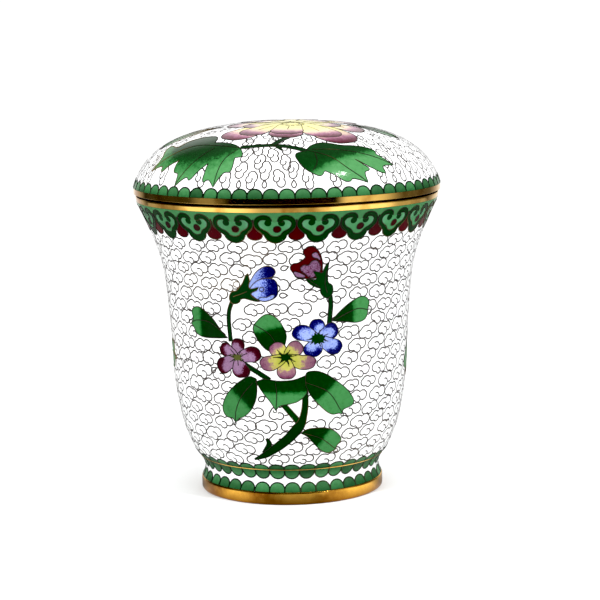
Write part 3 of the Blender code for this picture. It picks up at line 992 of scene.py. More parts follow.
# The foot band is painted darker in its lowest 3.6 mm, a painted shade near the table.
FOOT_GILT = Gilt("foot_gilt", (0.90, 0.48, 0.07), (0.26, 0.10, 0.012), 0.46, patch=60.0, gloss=0.16,
                 marks=0.05, shaded_up_to=0.0036)
WIRE_GILT = Gilt("wire_gilt", (0.16, 0.10, 0.03), (0.012, 0.010, 0.007), 0.62, patch=26.0, gloss=0.4,
                 metallic=0.0, specular=0.1)
CLOUD_GILT = Gilt("cloud_wire", (0.14, 0.10, 0.06), (0.050, 0.041, 0.038), 0.68, patch=26.0, gloss=0.12,
                  metallic=0.0, specular=0.5)
EDGE_GILT = Gilt("scallop_wire", (0.03, 0.04, 0.015), (0.003, 0.009, 0.003), 0.60, patch=26.0, gloss=0.4,
                 metallic=0.0, specular=0.1)
LID_LEAF = replace(LEAF_GREEN, name="lid_leaf_green", specular=0.45, stops=(
    (0.0, srgb(0, 46, 4)), (0.38, srgb(6, 64, 16)), (0.56, srgb(40, 108, 50)), (1.0, srgb(78, 140, 84))))
LID_STEM = replace(DEEP_GREEN, name="lid_deep_green", specular=0.3)


def dress(piece: bpy.types.Object, finish: Finish, *nodes: str) -> bpy.types.Object:
    """Rides a finished piece on the jar and hides the CAD nodes that it stands for.

    Args:
        piece: The finished piece.
        finish: The finish that it wears; not used.
        nodes: The CAD nodes that it replaces.

    Returns:
        The piece.
    """
    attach(piece, BODY)
    if nodes:
        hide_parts(*nodes)
    LOG.info("%s: %d faces", piece.name, len(piece.data.polygons))
    return piece


def smoothstep(low: float, high: float, value: float) -> float:
    """0 below low, 1 above high, and a smooth rise between."""
    share = min(max((value - low) / (high - low), 0.0), 1.0)
    return share * share * (3 - 2 * share)


def beyond(start: Point, end: Point, blur: float = 1.4) -> Shade:
    """A shade that turns from 0 to 1 across a line, and is 1 on the left of someone walking it."""
    reach = math.dist(start, end)

    def shade(x: float, y: float) -> float:
        """The shade at a place on the chart."""
        side = (end[0] - start[0]) * (y - start[1]) - (end[1] - start[1]) * (x - start[0])
        return smoothstep(-blur, blur, side / reach)

    return shade


def away(centre: Point, near: float, far: float) -> Shade:
    """A shade that turns from 0 to 1 with the distance from a centre."""
    return lambda x, y: min(max((math.dist((x, y), centre) - near) / (far - near), 0.0), 1.0)


def cut_away(wire: Line, outline: Line) -> list[list[Point]]:
    """The stretches of a wire that lie outside a closed outline, each ended on it."""

    def border(outer: Point, inner: Point) -> Point:
        """Where the stretch from an outer to an inner point meets the outline."""
        for _ in range(8):
            middle = ((outer[0] + inner[0]) / 2, (outer[1] + inner[1]) / 2)
            outer, inner = (outer, middle) if inside(middle, outline) else (middle, inner)
        return outer

    kept: list[list[Point]] = []
    current: list[Point] = []
    before: Optional[tuple[Point, bool]] = None
    for point in wire:
        hidden = inside(point, outline)
        if before is not None and hidden != before[1]:
            current.append(border(before[0], point) if hidden else border(point, before[0]))
        if hidden and current:
            kept.append(current)
            current = []
        if not hidden:
            current.append(tuple(point[:2]))
        before = (point, hidden)
    if current:
        kept.append(current)
    return [stretch for stretch in kept if len(stretch) > 1]


@dataclass
class Ornament:
    """Motifs on one surface: cells by finish and the wires between them, drawn back to front."""

    name: str
    surface: TurnedSurface
    plan: bool = False
    bearing: float = 0.0
    mirror: bool = False
    gauge: float = 0.16
    drawn: int = 0
    boxes: list[tuple[tuple[float, float, float, float], int]] = field(default_factory=list)
    finishes: dict[str, Enamel] = field(default_factory=dict)
    cells: dict[str, list[tuple[Cell, float]]] = field(default_factory=dict)
    wires: list[list[Point]] = field(default_factory=list)

    def cell(self, finish: Enamel, outline: list[Point], shade: Optional[Shade] = None, wired: bool = True,
             spacing: float = CELL_SPACING) -> None:
        """Lays a cell over what is drawn so far, with a wire around it.

        Args:
            finish: Its enamel.
            outline: Its closed outline, in millimetres.
            shade: How its shade changes over it.
            wired: Whether it has a wire of its own.
            spacing: How far apart the points inside it lie.
        """
        self.drawn += 1
        self.finishes[finish.name] = finish
        tint = random.Random(self.drawn * 7 + len(outline)).random()
        laid = Cell(outline, shade or (lambda x, y: 0.0), tint, spacing)
        xs, ys = [point[0] for point in outline], [point[1] for point in outline]
        box = (min(xs), min(ys), max(xs), max(ys))
        under = [level for (x0, y0, x1, y1), level in self.boxes
                 if x0 < box[2] and box[0] < x1 and y0 < box[3] and box[1] < y1]
        level = 1 + max(under, default=-1)
        self.boxes.append((box, level))
        self.cells.setdefault(finish.name, []).append((laid, CELL_LIFT + LAYER_STEP * level))
        self.wires = [stretch for wire in self.wires for stretch in cut_away(wire, outline)]
        if wired:
            self.wires.append(outline + outline[:1])

    def wire(self, *points: Point, closed: bool = False) -> None:
        """Bends a smooth wire through points."""
        line = smooth(points, closed=closed)
        self.wires.append(line + line[:1] if closed else line)

    def outlines(self) -> list[list[Point]]:
        """The outlines of every cell, as they lie on the chart."""
        laid = [cell.outline for cells in self.cells.values() for cell, _ in cells]
        return [mirrored(outline) for outline in laid] if self.mirror else laid

    def build(self, workshop: Workshop) -> None:
        """Makes one piece of cells for each finish, and one piece of all the wires."""
        inputs = {"Guide": self.surface.guide, "Plan": self.plan, "Bearing": self.bearing}
        for finish_name, laid in self.cells.items():
            finish = self.finishes[finish_name]
            mesh = layered_cells(f"{self.name}_{finish_name}", laid, self.mirror)
            piece = workshop.grow(mesh.name, Growth.CELLS, mesh,
                                  inputs | {"Material": workshop.material(finish)})
            dress(piece, finish)
        wires = [mirrored(wire) for wire in self.wires] if self.mirror else self.wires
        mesh = chains(f"{self.name}_wires", wires, WIRE_LIFT)
        inputs |= {"Gauge": self.gauge * MM, "Sides": 4, "Material": workshop.material(WIRE_GILT)}
        dress(workshop.grow(mesh.name, Growth.WIRES, mesh, inputs), WIRE_GILT)


def layered_cells(name: str, laid: list[tuple[Cell, float]], mirror: bool) -> bpy.types.Mesh:
    """One mesh of closed slabs, each at its own lift.

    Args:
        name: The mesh's name.
        laid: Each cell with its lift, in millimetres.
        mirror: Whether the drawing is turned left to right.

    Returns:
        The mesh.
    """
    joined = bmesh.new()
    for cell, lift in laid:
        outline = mirrored(cell.outline) if mirror else cell.outline
        shade = (lambda x, y, own=cell.shade: own(-x, y)) if mirror else cell.shade
        single = Drawing(lift, [Cell(outline, shade, cell.tint, cell.spacing)]).cell_mesh(name)
        joined.from_mesh(single)
        bpy.data.meshes.remove(single)
    mesh = bpy.data.meshes.new(name)
    joined.to_mesh(mesh)
    joined.free()
    return mesh


# Motifs, drawn in millimetres


# A petal's round part has this many points on each side of its tip, this many degrees apart. Its neck has
# this share of its narrower radius, and starts this far from the flower's middle, in millimetres.
PETAL_POINTS = 4
PETAL_STEP = 28
PETAL_NECK = 0.42
PETAL_ROOT = 0.25


def petal(root: Point, lobe: Point, radii: tuple[float, float], notch: float = 0.07) -> list[Point]:
    """A petal from a flower's middle around a lobe, with a soft notch in its outer edge.

    Args:
        root: The flower's middle.
        lobe: The middle of the petal's round part.
        radii: The round part's half-width and half-height on the chart.
        notch: The notch's depth, as a share of the round part's radius.

    Returns:
        The petal's outline.
    """
    axis = (Vector(lobe) - Vector(root)).normalized()
    side = Vector((-axis.y, axis.x))
    start = math.atan2(axis.y, axis.x)
    points = []
    for step in range(-PETAL_POINTS, PETAL_POINTS + 1):
        turn = start + math.radians(step * PETAL_STEP)
        wide, high = (radius * (1 - notch if step == 0 else 1.0) for radius in radii)
        points.append((lobe[0] + wide * math.cos(turn), lobe[1] + high * math.sin(turn)))
    neck = side * (min(radii) * PETAL_NECK)
    near = Vector(root) + axis * PETAL_ROOT
    return smooth(points + [tuple(near + neck), tuple(near - neck)])


def disc(centre: Point, radius: float, steps: int = 16) -> list[Point]:
    """A round outline."""
    turns = (math.tau * step / steps for step in range(steps))
    return [(centre[0] + radius * math.cos(turn), centre[1] + radius * math.sin(turn)) for turn in turns]


# The curl of wire ahead of a leaf's tip: along the main vein and to its left
LEAF_CURL = ((0.9, 0.3), (1.3, -0.5), (0.5, -0.9))


@dataclass(frozen=True)
class Leaf:
    """A leaf: its outline, its veins with the main one first, and the line beyond which it turns light."""

    outline: Line
    veins: tuple[Line, ...]
    light: tuple[Point, Point]

    def draw(self, ornament: Ornament) -> None:
        """Lays the leaf and its veins."""
        ornament.cell(LEAF_GREEN, smooth(self.outline), beyond(*self.light))
        for vein in self.veins:
            ornament.wire(*vein)
        tip = Vector(self.veins[0][-1])
        ahead = (tip - Vector(self.veins[0][-2])).normalized()
        side = Vector((-ahead.y, ahead.x))
        curl = (tuple(tip + ahead * along + side * across) for along, across in LEAF_CURL)
        ornament.wire(tuple(tip), *curl)

    def moved(self, x: float, y: float) -> "Leaf":
        """The same leaf elsewhere on the chart."""

        def shift(points: Line) -> Line:
            """The points, moved along."""
            return tuple((point[0] + x, point[1] + y, *point[2:]) for point in points)

        return Leaf(shift(self.outline), tuple(shift(vein) for vein in self.veins), shift(self.light))


# A flower's eye: how high it is beside its width, how far its spikes stray and how short they may be
EYE_HEIGHT = 0.72
SPIKE_STRAY = 0.3
SHORTEST_SPIKE = 0.35

# Its stamens: how far each strays around, its height beside its width, and its length as a share
STAMEN_STRAY = (0.1, 0.6)
STAMEN_HEIGHT = 0.8
STAMEN_LENGTHS = (0.85, 1.15)


def star(centre: Point, core: float, reach: float, spikes: int, rng: random.Random) -> list[Point]:
    """A flower's ragged eye: a core with uneven spikes."""
    points = []
    for step in range(spikes * 2):
        turn = math.tau * (step + rng.uniform(-SPIKE_STRAY, SPIKE_STRAY)) / spikes / 2
        radius = rng.uniform(core + SHORTEST_SPIKE * (reach - core), reach) if step % 2 else core
        high = EYE_HEIGHT * radius
        points.append((centre[0] + radius * math.cos(turn), centre[1] + high * math.sin(turn), 1))
    return smooth(points, spacing=0.5)


# A crescent petal, in shares of its size: how far inwards its pale heart lies, and where its shade turns
HEART_INWARDS = 0.32
CRESCENT_TURN = (0.35, 1.05)
CRESCENT_REACH = (-0.9, -0.1)


def crescent(middle: Point, lobe: Point, size: float, lean: float) -> Shade:
    """A petal's shade: pale in its heart, and dark in a crescent along its outer edge.

    Args:
        middle: The flower's middle.
        lobe: The middle of the petal's round part.
        size: The round part's mean radius.
        lean: How far the crescent leans to one side.

    Returns:
        The shade, 1 on the outer edge.
    """
    axis = (Vector(lobe) - Vector(middle)).normalized()
    side = Vector((-axis.y, axis.x))
    heart = Vector(lobe) - axis * (size * HEART_INWARDS) - side * (size * lean)

    def shade(x: float, y: float) -> float:
        """The shade at a place on the chart."""
        away_from_heart = (Vector((x, y)) - heart).length / size
        outwards = (Vector((x, y)) - Vector(lobe)).dot(axis) / size
        return smoothstep(*CRESCENT_TURN, away_from_heart) * smoothstep(*CRESCENT_REACH, outwards)

    return shade


@dataclass(frozen=True)
class Flower:
    """An open flower: its middle, its petals' lobes with their radii, its enamel and how its shade lies."""

    middle: Point
    petals: tuple[tuple[Point, tuple[float, float]], ...]
    finish: Enamel
    leans: tuple[float, ...] = ()
    eye: tuple[float, float] = (1.35, 3.0)
    spikes: int = 9
    eye_finish: Enamel = EYE_GREEN
    stamens: int = 7

    def draw(self, ornament: Ornament) -> None:
        """Lays the petals, and the ragged eye with its stamens."""
        rng = random.Random(int(100 * self.middle[1]))
        for index, (lobe, radii) in enumerate(self.petals):
            outline = petal(self.middle, lobe, radii)
            reach = max(math.dist(point, self.middle) for point in outline)
            shade = away(self.middle, 0.0, reach)
            if self.leans:
                shade = crescent(self.middle, lobe, sum(radii) / 2, self.leans[index])
            ornament.cell(self.finish, outline, shade, spacing=0.75)
        core, reach = self.eye
        eye = star(self.middle, core, reach, self.spikes, rng)
        ornament.cell(self.eye_finish, eye, wired=False, spacing=0.6)
        for step in range(self.stamens):
            heading = math.tau * (step + rng.uniform(*STAMEN_STRAY)) / self.stamens
            across, up = math.cos(heading), STAMEN_HEIGHT * math.sin(heading)
            length = reach * rng.uniform(*STAMEN_LENGTHS)
            ornament.wire((self.middle[0] + core * across, self.middle[1] + core * up),
                          (self.middle[0] + length * across, self.middle[1] + length * up))


# A cloud of unit width: its cusps, the arcs between them with their steps, and how far a cusp strays
CLOUD_CUSPS = {"tip": (-0.10, -0.02), "curl": (0.17, -0.13), "heel": (-0.18, -0.24), "left": (-0.49, -0.02),
               "dip_left": (-0.36, 0.155), "crown": (-0.12, 0.30), "dip_right": (0.10, 0.22),
               "right": (0.50, -0.04), "end": (0.19, -0.20)}
CLOUD_ARCS = (("tip", "curl", "heel", 7), ("heel", "left", "dip_left", 6),
              ("dip_left", "crown", "dip_right", 5), ("dip_right", "right", "end", 7))
CUSP_STRAY = 0.03
CLOUD_POINTS_COVERED = 3
DROP_SIZE = 2.6


def cloud_wire(rng: random.Random) -> list[Point]:
    """One curled cloud of unit width, bent from a single wire: a hook that runs on into three lobes."""
    cusp = {name: tuple(place + rng.uniform(-CUSP_STRAY, CUSP_STRAY) for place in spot)
            for name, spot in CLOUD_CUSPS.items()}
    line: list[Point] = []
    for *names, steps in CLOUD_ARCS:
        line += arc_through(*(cusp[name] for name in names), steps)
    return line + [cusp["end"]]


def mostly_inside(spot: Point, outline: Line, across: float, up: float) -> bool:
    """Whether an outline covers most of a cloud's middle and the places across and up from it."""
    around = ((0, 0), (-across, 0), (across, 0), (0, up), (0, -up))
    return sum(inside((spot[0] + x, spot[1] + y), outline) for x, y in around) >= CLOUD_POINTS_COVERED


@dataclass
class Cloud:
    """One cloud or drop: its place on the chart in millimetres, bearing, turn, size and pattern."""

    x: float
    y: float
    bearing: float
    turn: float
    size: tuple[float, float]
    pick: int


@dataclass
class CloudField:
    """The bent-wire clouds and drops that fill the white ground around the motifs of one surface."""

    name: str
    surface: TurnedSurface
    plan: bool
    patterns: int = 5
    seed: int = 11
    gauge: float = 0.265
    clouds: list[Cloud] = field(default_factory=list)

    def add(self, x: float, y: float, bearing: float, turn: float, size: tuple[float, float],
            pick: Optional[int] = None) -> None:
        """Notes one cloud, or a drop where no pattern is picked."""
        self.clouds.append(Cloud(x, y, bearing, turn, size, self.patterns if pick is None else pick))

    def build(self, workshop: Workshop) -> None:
        """Scatters the patterns over the noted places as one piece of wires."""
        rng = random.Random(self.seed)
        drawer = bpy.data.collections.new(f"{self.name} patterns")
        holders = []
        wires = [cloud_wire(rng) for _ in range(self.patterns)]
        wires.append(smooth(teardrop((-0.5, 0.0), (0.5, 0.0), 0.62), spacing=0.12))
        wires[-1].append(wires[-1][0])
        for index, wire in enumerate(wires):
            pattern = bpy.data.objects.new(f"pattern {index}", chains("pattern", [wire], 0.0))
            drawer.objects.link(pattern)
            holders.append(pattern)
        mesh = bpy.data.meshes.new(self.name)
        mesh.from_pydata([(cloud.x * MM, cloud.y * MM, CLOUD_LIFT * MM) for cloud in self.clouds], [], [])
        for label, kind in (("bearing", "FLOAT"), ("turn", "FLOAT"), ("pick", "INT")):
            attribute = mesh.attributes.new(label, kind, "POINT")
            attribute.data.foreach_set("value", [getattr(cloud, label) for cloud in self.clouds])
        sizes = mesh.attributes.new("size", "FLOAT_VECTOR", "POINT")
        sizes.data.foreach_set("vector", [share for cloud in self.clouds for share in (*cloud.size, 1.0)])
        inputs = {"Guide": self.surface.guide, "Plan": self.plan, "Gauge": self.gauge * MM, "Sides": 3,
                  "Patterns": drawer, "Material": workshop.material(CLOUD_GILT)}
        dress(workshop.grow(self.name, Growth.CLOUDS, mesh, inputs), CLOUD_GILT)
        for pattern in holders:
            bpy.data.objects.remove(pattern)
        bpy.data.collections.remove(drawer)


@dataclass
class Band:
    """A pattern of cells and wires repeated around a surface."""

    name: str
    surface: TurnedSurface
    count: int
    height: float
    flip: bool = False
    stray: float = 0.0
    bearing: float = 0.0
    seed: int = 3
    gauge: float = 0.26

    def build(self, workshop: Workshop, part: str, drawing: Drawing, finish: Finish) -> None:
        """Repeats one drawing around the surface.

        Args:
            workshop: The trees and materials.
            part: What the drawing is, for the piece's name.
            drawing: The cells, or the wires, of one repeat, in millimetres.
            finish: Their finish, which says whether they are cells or wires.
        """
        wired = isinstance(finish, Gilt)
        mesh = drawing.wire_mesh("pattern") if wired else drawing.cell_mesh("pattern")
        if not wired and len(drawing.cells) == 1:
            # Each repeat then takes the tint of its own spot.
            mesh.attributes.remove(mesh.attributes["tint"])
        pattern = place("pattern", mesh)
        inputs = {"Guide": self.surface.guide, "Pattern": pattern, "Count": self.count,
                  "Height": self.height * MM, "Flip": self.flip, "Stray": self.stray, "Seed": self.seed,
                  "Bearing": self.bearing, "Material": workshop.material(finish)}
        if wired:
            inputs |= {"Gauge": self.gauge * MM, "Sides": 4}
        growth = Growth.WIRE_BAND if wired else Growth.CELL_BAND
        start = bpy.data.meshes.new("start")
        dress(workshop.grow(f"{self.name}_{part}", growth, start, inputs), finish)
        bpy.data.objects.remove(pattern)


# How square a scallop's shoulders are, less for a lower number, and the steps of its arch
SCALLOP_SHOULDER = 0.75
SCALLOP_STEPS = 12


def scallop(width: float, height: float) -> Drawing:
    """One scallop standing on a line: a round-shouldered cell, with its wire around it."""
    half = width / 2
    turns = [math.pi * step / SCALLOP_STEPS for step in range(SCALLOP_STEPS + 1)]
    arch = [(half * math.cos(turn), height * math.sin(turn) ** SCALLOP_SHOULDER) for turn in turns]
    foot = [(half * share, 0.0) for share in (-0.75, -0.5, -0.25, 0.0, 0.25, 0.5, 0.75)]
    return Drawing(CELL_LIFT, [Cell(arch + foot, lambda x, y: y / height)], [arch])


def scallop_row(workshop: Workshop, band: Band, radius: float, height: float) -> None:
    """Sets a row of green scallops and their wires around a band.

    Args:
        workshop: The trees and materials.
        band: The band, which says how many there are.
        radius: The radius in metres on which they meet.
        height: Their height, in millimetres.
    """
    drawing = scallop(math.tau * radius / MM / band.count, height)
    band.build(workshop, "enamel", drawing, SCALLOP_GREEN)
    band.build(workshop, "wires", drawing, EDGE_GILT)


# Sub-assemblies of the jar


def span(node: str) -> tuple[float, float, float]:
    """A CAD node's lowest height, highest height and outer radius, in metres."""
    low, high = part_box(node)
    return low.z, high.z, high.x


@dataclass
class Foot:
    """The gilt band that the jar stands on, and the coved enamel ring above it."""

    hollow_radius: float = 0.02675
    ledge: float = 0.0004
    cove_depth: float = 0.00095
    cove_height: float = 0.0031
    cove_steps: int = 24
    band_lip: float = 0.00013
    band_fillets: tuple[float, float, float] = (0.0004, 0.0008, 0.0006)
    lower_scallops: int = 37
    upper_scallops: int = 39
    lower_scallop_height: float = 3.2
    upper_scallop_height: float = 3.5
    seam_gauge: float = 0.00026
    seam_inset: float = 0.0001

    def build(self, workshop: Workshop) -> None:
        """Builds the band, the ring with its two rows of scallops, and the seam wire under the vessel."""
        outer = span("foot_rim")[2]
        ring_base, ring_top, top_radius = span("foot_ring")
        base_radius = outer - self.ledge
        floor = ring_base - self.band_lip
        inner_fillet, lower_fillet, upper_fillet = self.band_fillets
        band = rounded([(self.hollow_radius, 0.0, inner_fillet), (outer, 0.0, lower_fillet),
                        (outer, floor, upper_fillet), (self.hollow_radius, floor, 0)])
        workshop.turn("foot_band", band, FOOT_GILT, "foot_rim")
        cove = self.cove(base_radius)
        section = cove + [(self.hollow_radius, ring_top), (self.hollow_radius, floor)]
        workshop.turn("foot_ring_enamel", section, WHITE, "foot_ring")
        surface = TurnedSurface("foot", cove)
        lower = Band("foot_lower_scallops", surface, self.lower_scallops, 0.0, stray=0.04, seed=5)
        scallop_row(workshop, lower, base_radius, self.lower_scallop_height)
        upper = Band("foot_upper_scallops", surface, self.upper_scallops, surface.length / MM, True,
                     stray=0.04, seed=8)
        scallop_row(workshop, upper, top_radius, self.upper_scallop_height)
        surface.dismiss()
        seam = (top_radius - self.seam_inset, (ring_top + span("jar_body")[0]) / 2)
        workshop.turn("foot_seam_wire", disc(seam, self.seam_gauge, 8), RIM_GILT)

    def cove(self, base_radius: float) -> list[Point]:
        """The ring's outline: two parabolas that meet at the cove's waist, run on down to the band."""
        ring_base, ring_top, top_radius = span("foot_ring")
        narrow = base_radius - self.cove_depth
        height = ring_top - ring_base
        slope = 2 * self.cove_depth / self.cove_height
        outline = [(base_radius + slope * self.band_lip, ring_base - self.band_lip)]
        for step in range(self.cove_steps + 1):
            rise = height * step / self.cove_steps - self.cove_height
            swell, reach = self.cove_depth, self.cove_height
            if rise > 0:
                swell, reach = top_radius - narrow, height - self.cove_height
            outline.append((narrow + swell * (rise / reach) ** 2, ring_base + self.cove_height + rise))
        return outline


@dataclass
class Vessel:
    """The bell-shaped enamelled vessel: shell, scallops, clouds, ruyi lappets and the sprays."""

    seat_radius: float = 0.03045
    diameters: tuple[float, ...] = (0.0679, 0.0746, 0.0782, 0.0839)
    shares: tuple[float, ...] = (0.075, 0.229, 0.514, 0.788)
    leans: tuple[float, float] = (0.97, 0.49)
    wall: float = 0.0020
    floor: float = 0.0022
    corner: float = 0.0060
    corner_steps: int = 8
    scallops: int = 39
    scallop_height: float = 2.35
    scallop_meeting: float = 0.0008
    lappets: int = 22
    lappet_base: float = 76.6
    lappet_bearing: float = -0.082
    ground_base: float = 80.5
    ground_steps: int = 14
    ground_lift: float = 0.03
    ground_depth: float = 0.08
    cloud_pitch: float = 7.7
    cloud_width: float = 6.7
    row_pitch: float = 4.08
    sideways: float = 0.07
    upwards: float = 0.4
    lean: float = 7
    widths: tuple[float, float] = (0.90, 1.10)
    heights: tuple[float, float] = (0.88, 1.0)
    top_row: float = 75.0
    bottom_row: float = 4.4
    seed: int = 23
    drop_clearing: float = 2.7
    drops: tuple[tuple[float, float, float], ...] = (
        (-1.1, 68.0, 200), (-1.6, 59.0, 180), (10.8, 52.5, 180), (-9.1, 25.9, 215), (-26.0, 34.2, 215))

    def outline(self) -> list[Point]:
        """The vessel's outside, from its seat to its mouth, in metres."""
        base, top, mouth = span("jar_body")
        stations = [(self.seat_radius, base)]
        stations += [(d / 2, base + (top - base) * share) for d, share in zip(self.diameters, self.shares)]
        return hermite(stations + [(mouth, top)], self.leans)

    def build(self, workshop: Workshop) -> None:
        """Builds the shell and everything that lies on it."""
        outside = self.outline()
        surface = TurnedSurface("vessel", outside)
        self.shell(workshop, outside)
        scallops = Band("vessel_scallops", surface, self.scallops, 0.0, stray=0.04, seed=15)
        scallop_row(workshop, scallops, surface.at(self.scallop_meeting)[0], self.scallop_height)
        self.ruyi_band(workshop, surface)
        sprays = [front_spray(surface), back_spray(surface)]
        self.cloud_field(surface, sprays).build(workshop)
        for spray in sprays:
            spray.build(workshop)
        surface.dismiss()

    def shell(self, workshop: Workshop, outside: list[Point]) -> None:
        """The vessel itself, white outside and turquoise inside and underneath."""
        base, top = outside[0][1], outside[-1][1]
        moved = shifted(outside, -self.wall)
        corner_top = base + self.floor + self.corner
        wall = [point for point in moved if corner_top < point[1] < top]
        foot, floor = wall[0], base + self.floor
        rounding = bezier([(foot[0] - self.corner, floor), (foot[0], floor), foot], self.corner_steps)
        rim = [(outside[-1][0] - self.wall, top)]
        section = [(0.0, base)] + outside + rim + (rounding[:-1] + wall)[::-1] + [(0.0, floor)]
        piece = workshop.turn("vessel_shell", section, WHITE, "jar_body")
        line_inside(piece, workshop.material(LINING), self.seat_radius - self.wall)

    def ruyi_band(self, workshop: Workshop, surface: TurnedSurface) -> None:
        """The ruyi lappets that hang from the mouth, with maroon drops between them on a pale ground."""
        low, steps = self.ground_base * MM, self.ground_steps
        strip = [surface.at(low + (surface.length - low) * step / steps) for step in range(steps + 1)]
        section = shifted(strip, self.ground_lift * MM) + shifted(strip, -self.ground_depth * MM)[::-1]
        workshop.turn("ruyi_ground", section, GROUND_GREEN)
        band = Band("ruyi", surface, self.lappets, self.lappet_base, stray=0.02,
                    bearing=self.lappet_bearing, seed=31, gauge=0.15)
        between = replace(band, bearing=self.lappet_bearing + math.pi / self.lappets, seed=33)
        half_drop = [(1.4, 1.25), (2.4, 2.2), (2.2, 3.4), (1.2, 4.6), (0.35, 5.6), (0.12, 8.2, 1)]
        drop = smooth([(0.0, 0.95), *half_drop, *mirrored(half_drop)])
        head = self.lappet_outline()
        arm = [(-1.7, 7.5), (-2.0, 8.6), (-3.3, 9.05), (-4.9, 8.6), (-5.85, 7.1), (-5.3, 5.2), (-4.2, 4.2),
               (-2.9, 3.3), (-2.0, 1.9)]
        widths = [1.7, 1.6, 1.6, 1.5, 1.4, 1.4, 1.5, 1.7, 2.1]
        scroll = ribbon(arm + [(0.0, 1.1)] + mirrored(arm), widths + [2.4] + widths[::-1])
        knobs = [disc((side * 2.1, 7.0), 1.12, 12) for side in (-1, 1)]
        dot = smooth([(-0.4, 4.0), (0.7, 3.7), (1.6, 4.2), (1.85, 5.1), (1.2, 5.9), (0.2, 5.9),
                      (-0.5, 5.2)])
        drops = Drawing(CELL_LIFT, [Cell(drop, lambda x, y: y / 7)])
        drops.outline_wires()
        between.build(workshop, "drops", drops, MAROON)
        between.build(workshop, "drop_wires", drops, WIRE_GILT)
        fill = Drawing(CELL_LIFT + LAYER_STEP, [Cell(head, lambda x, y: smoothstep(2.0, 7.0, abs(x)))])
        band.build(workshop, "fill", fill, FILL_GREEN)
        scrolls = Drawing(CELL_LIFT + 2 * LAYER_STEP, [Cell(scroll), *(Cell(knob) for knob in knobs)])
        band.build(workshop, "scrolls", scrolls, DEEP_GREEN)
        dots = Drawing(CELL_LIFT + 3 * LAYER_STEP, [Cell(dot, spacing=0.8)])
        dots.outline_wires()
        band.build(workshop, "dots", dots, DOT_BROWN)
        outer_edge = [stretch for knob in knobs for stretch in cut_away(scroll + scroll[:1], knob)][:1]
        wires = Drawing(CELL_LIFT, wires=outer_edge + dots.wires)
        band.build(workshop, "wires", wires, WIRE_GILT)

    @staticmethod
    def lappet_outline() -> list[Point]:
        """A ruyi head: two upper lobes and a lower one, with a notch above."""
        half = [(0.0, -0.05), (1.9, 0.4), (3.0, 1.6), (3.5, 2.8), (4.9, 3.7), (6.1, 5.3), (6.5, 7.2),
                (5.8, 8.9), (4.3, 9.8), (2.7, 9.8), (1.5, 9.1), (1.1, 7.9)]
        return smooth(half + [(0.0, 7.2, 1)] + [(-x, y) for x, y in reversed(half[1:])])

    def cloud_field(self, surface: TurnedSurface, sprays: Sequence[Ornament]) -> CloudField:
        """The clouds between the scallops and the lappets, in staggered rows, except where a motif lies."""
        rng = random.Random(self.seed)
        clouds = CloudField("vessel_clouds", surface, plan=False)
        motifs = [(spray.bearing, outline) for spray in sprays for outline in spray.outlines()]
        motifs += [(0.0, disc((x, level), self.drop_clearing)) for x, level, _ in self.drops]
        rows = round((self.top_row - self.bottom_row) / self.row_pitch)
        for row in range(rows + 1):
            height = self.top_row - (self.top_row - self.bottom_row) * row / rows
            around = math.tau * surface.at(height * MM)[0] / MM
            count = round(around / self.cloud_pitch)
            for index in range(count):
                turn = math.tau * (index + row % 2 / 2 + rng.uniform(-self.sideways, self.sideways)) / count
                level = height + rng.uniform(-self.upwards, self.upwards)
                lean = math.radians(rng.gauss(0, self.lean))
                size = self.cloud_width * rng.uniform(*self.widths)
                pick = rng.randrange(clouds.patterns)
                if not self.covered(turn, level, around, motifs):
                    clouds.add(0.0, level, turn, lean, (size, size * rng.uniform(*self.heights)), pick)
        for x, level, lean in self.drops:
            around = math.tau * surface.at(level * MM)[0] / MM
            clouds.add(0.0, level, math.tau * x / around, math.radians(lean), (DROP_SIZE, DROP_SIZE))
        return clouds

    @staticmethod
    def covered(turn: float, level: float, around: float,
                motifs: Sequence[tuple[float, list[Point]]]) -> bool:
        """Whether a motif covers a cloud's middle and most of its width."""
        for bearing, outline in motifs:
            offset = (turn - bearing + math.pi) % math.tau - math.pi
            if mostly_inside((offset / math.tau * around, level), outline, 2, 1.2):
                return True
        return False


def line_inside(piece: bpy.types.Object, lining: bpy.types.Material, seat: float) -> None:
    """Gives the lining to the faces that look inwards, and to level ones nearer the axis than the seat."""
    piece.data.materials.append(lining)
    for face in piece.data.polygons:
        centre, normal = Vector(face.center[:2]), Vector(face.normal[:2])
        level = abs(face.normal.z) > LEVEL_NORMAL
        if (normal.dot(centre) < -NEARLY_NOTHING and not level) or (level and centre.length < seat):
            face.material_index = 1


def draw_spray(spray: Ornament, stems: Sequence[tuple[Line, Sequence[float]]], leaves: Sequence[Leaf],
               buds: Sequence[Callable[[Ornament], None]], flowers: Sequence[Flower]) -> Ornament:
    """Draws a spray from the back to the front.

    Args:
        spray: The ornament to draw on.
        stems: Each stem's line and widths.
        leaves: The leaves.
        buds: The functions that draw the buds.
        flowers: The open flowers.

    Returns:
        The ornament.
    """
    for line, widths in stems:
        spray.cell(DEEP_GREEN, ribbon(line, widths))
    for leaf in leaves:
        leaf.draw(spray)
    for bud in buds:
        bud(spray)
    for flower in flowers:
        flower.draw(spray)
    return spray


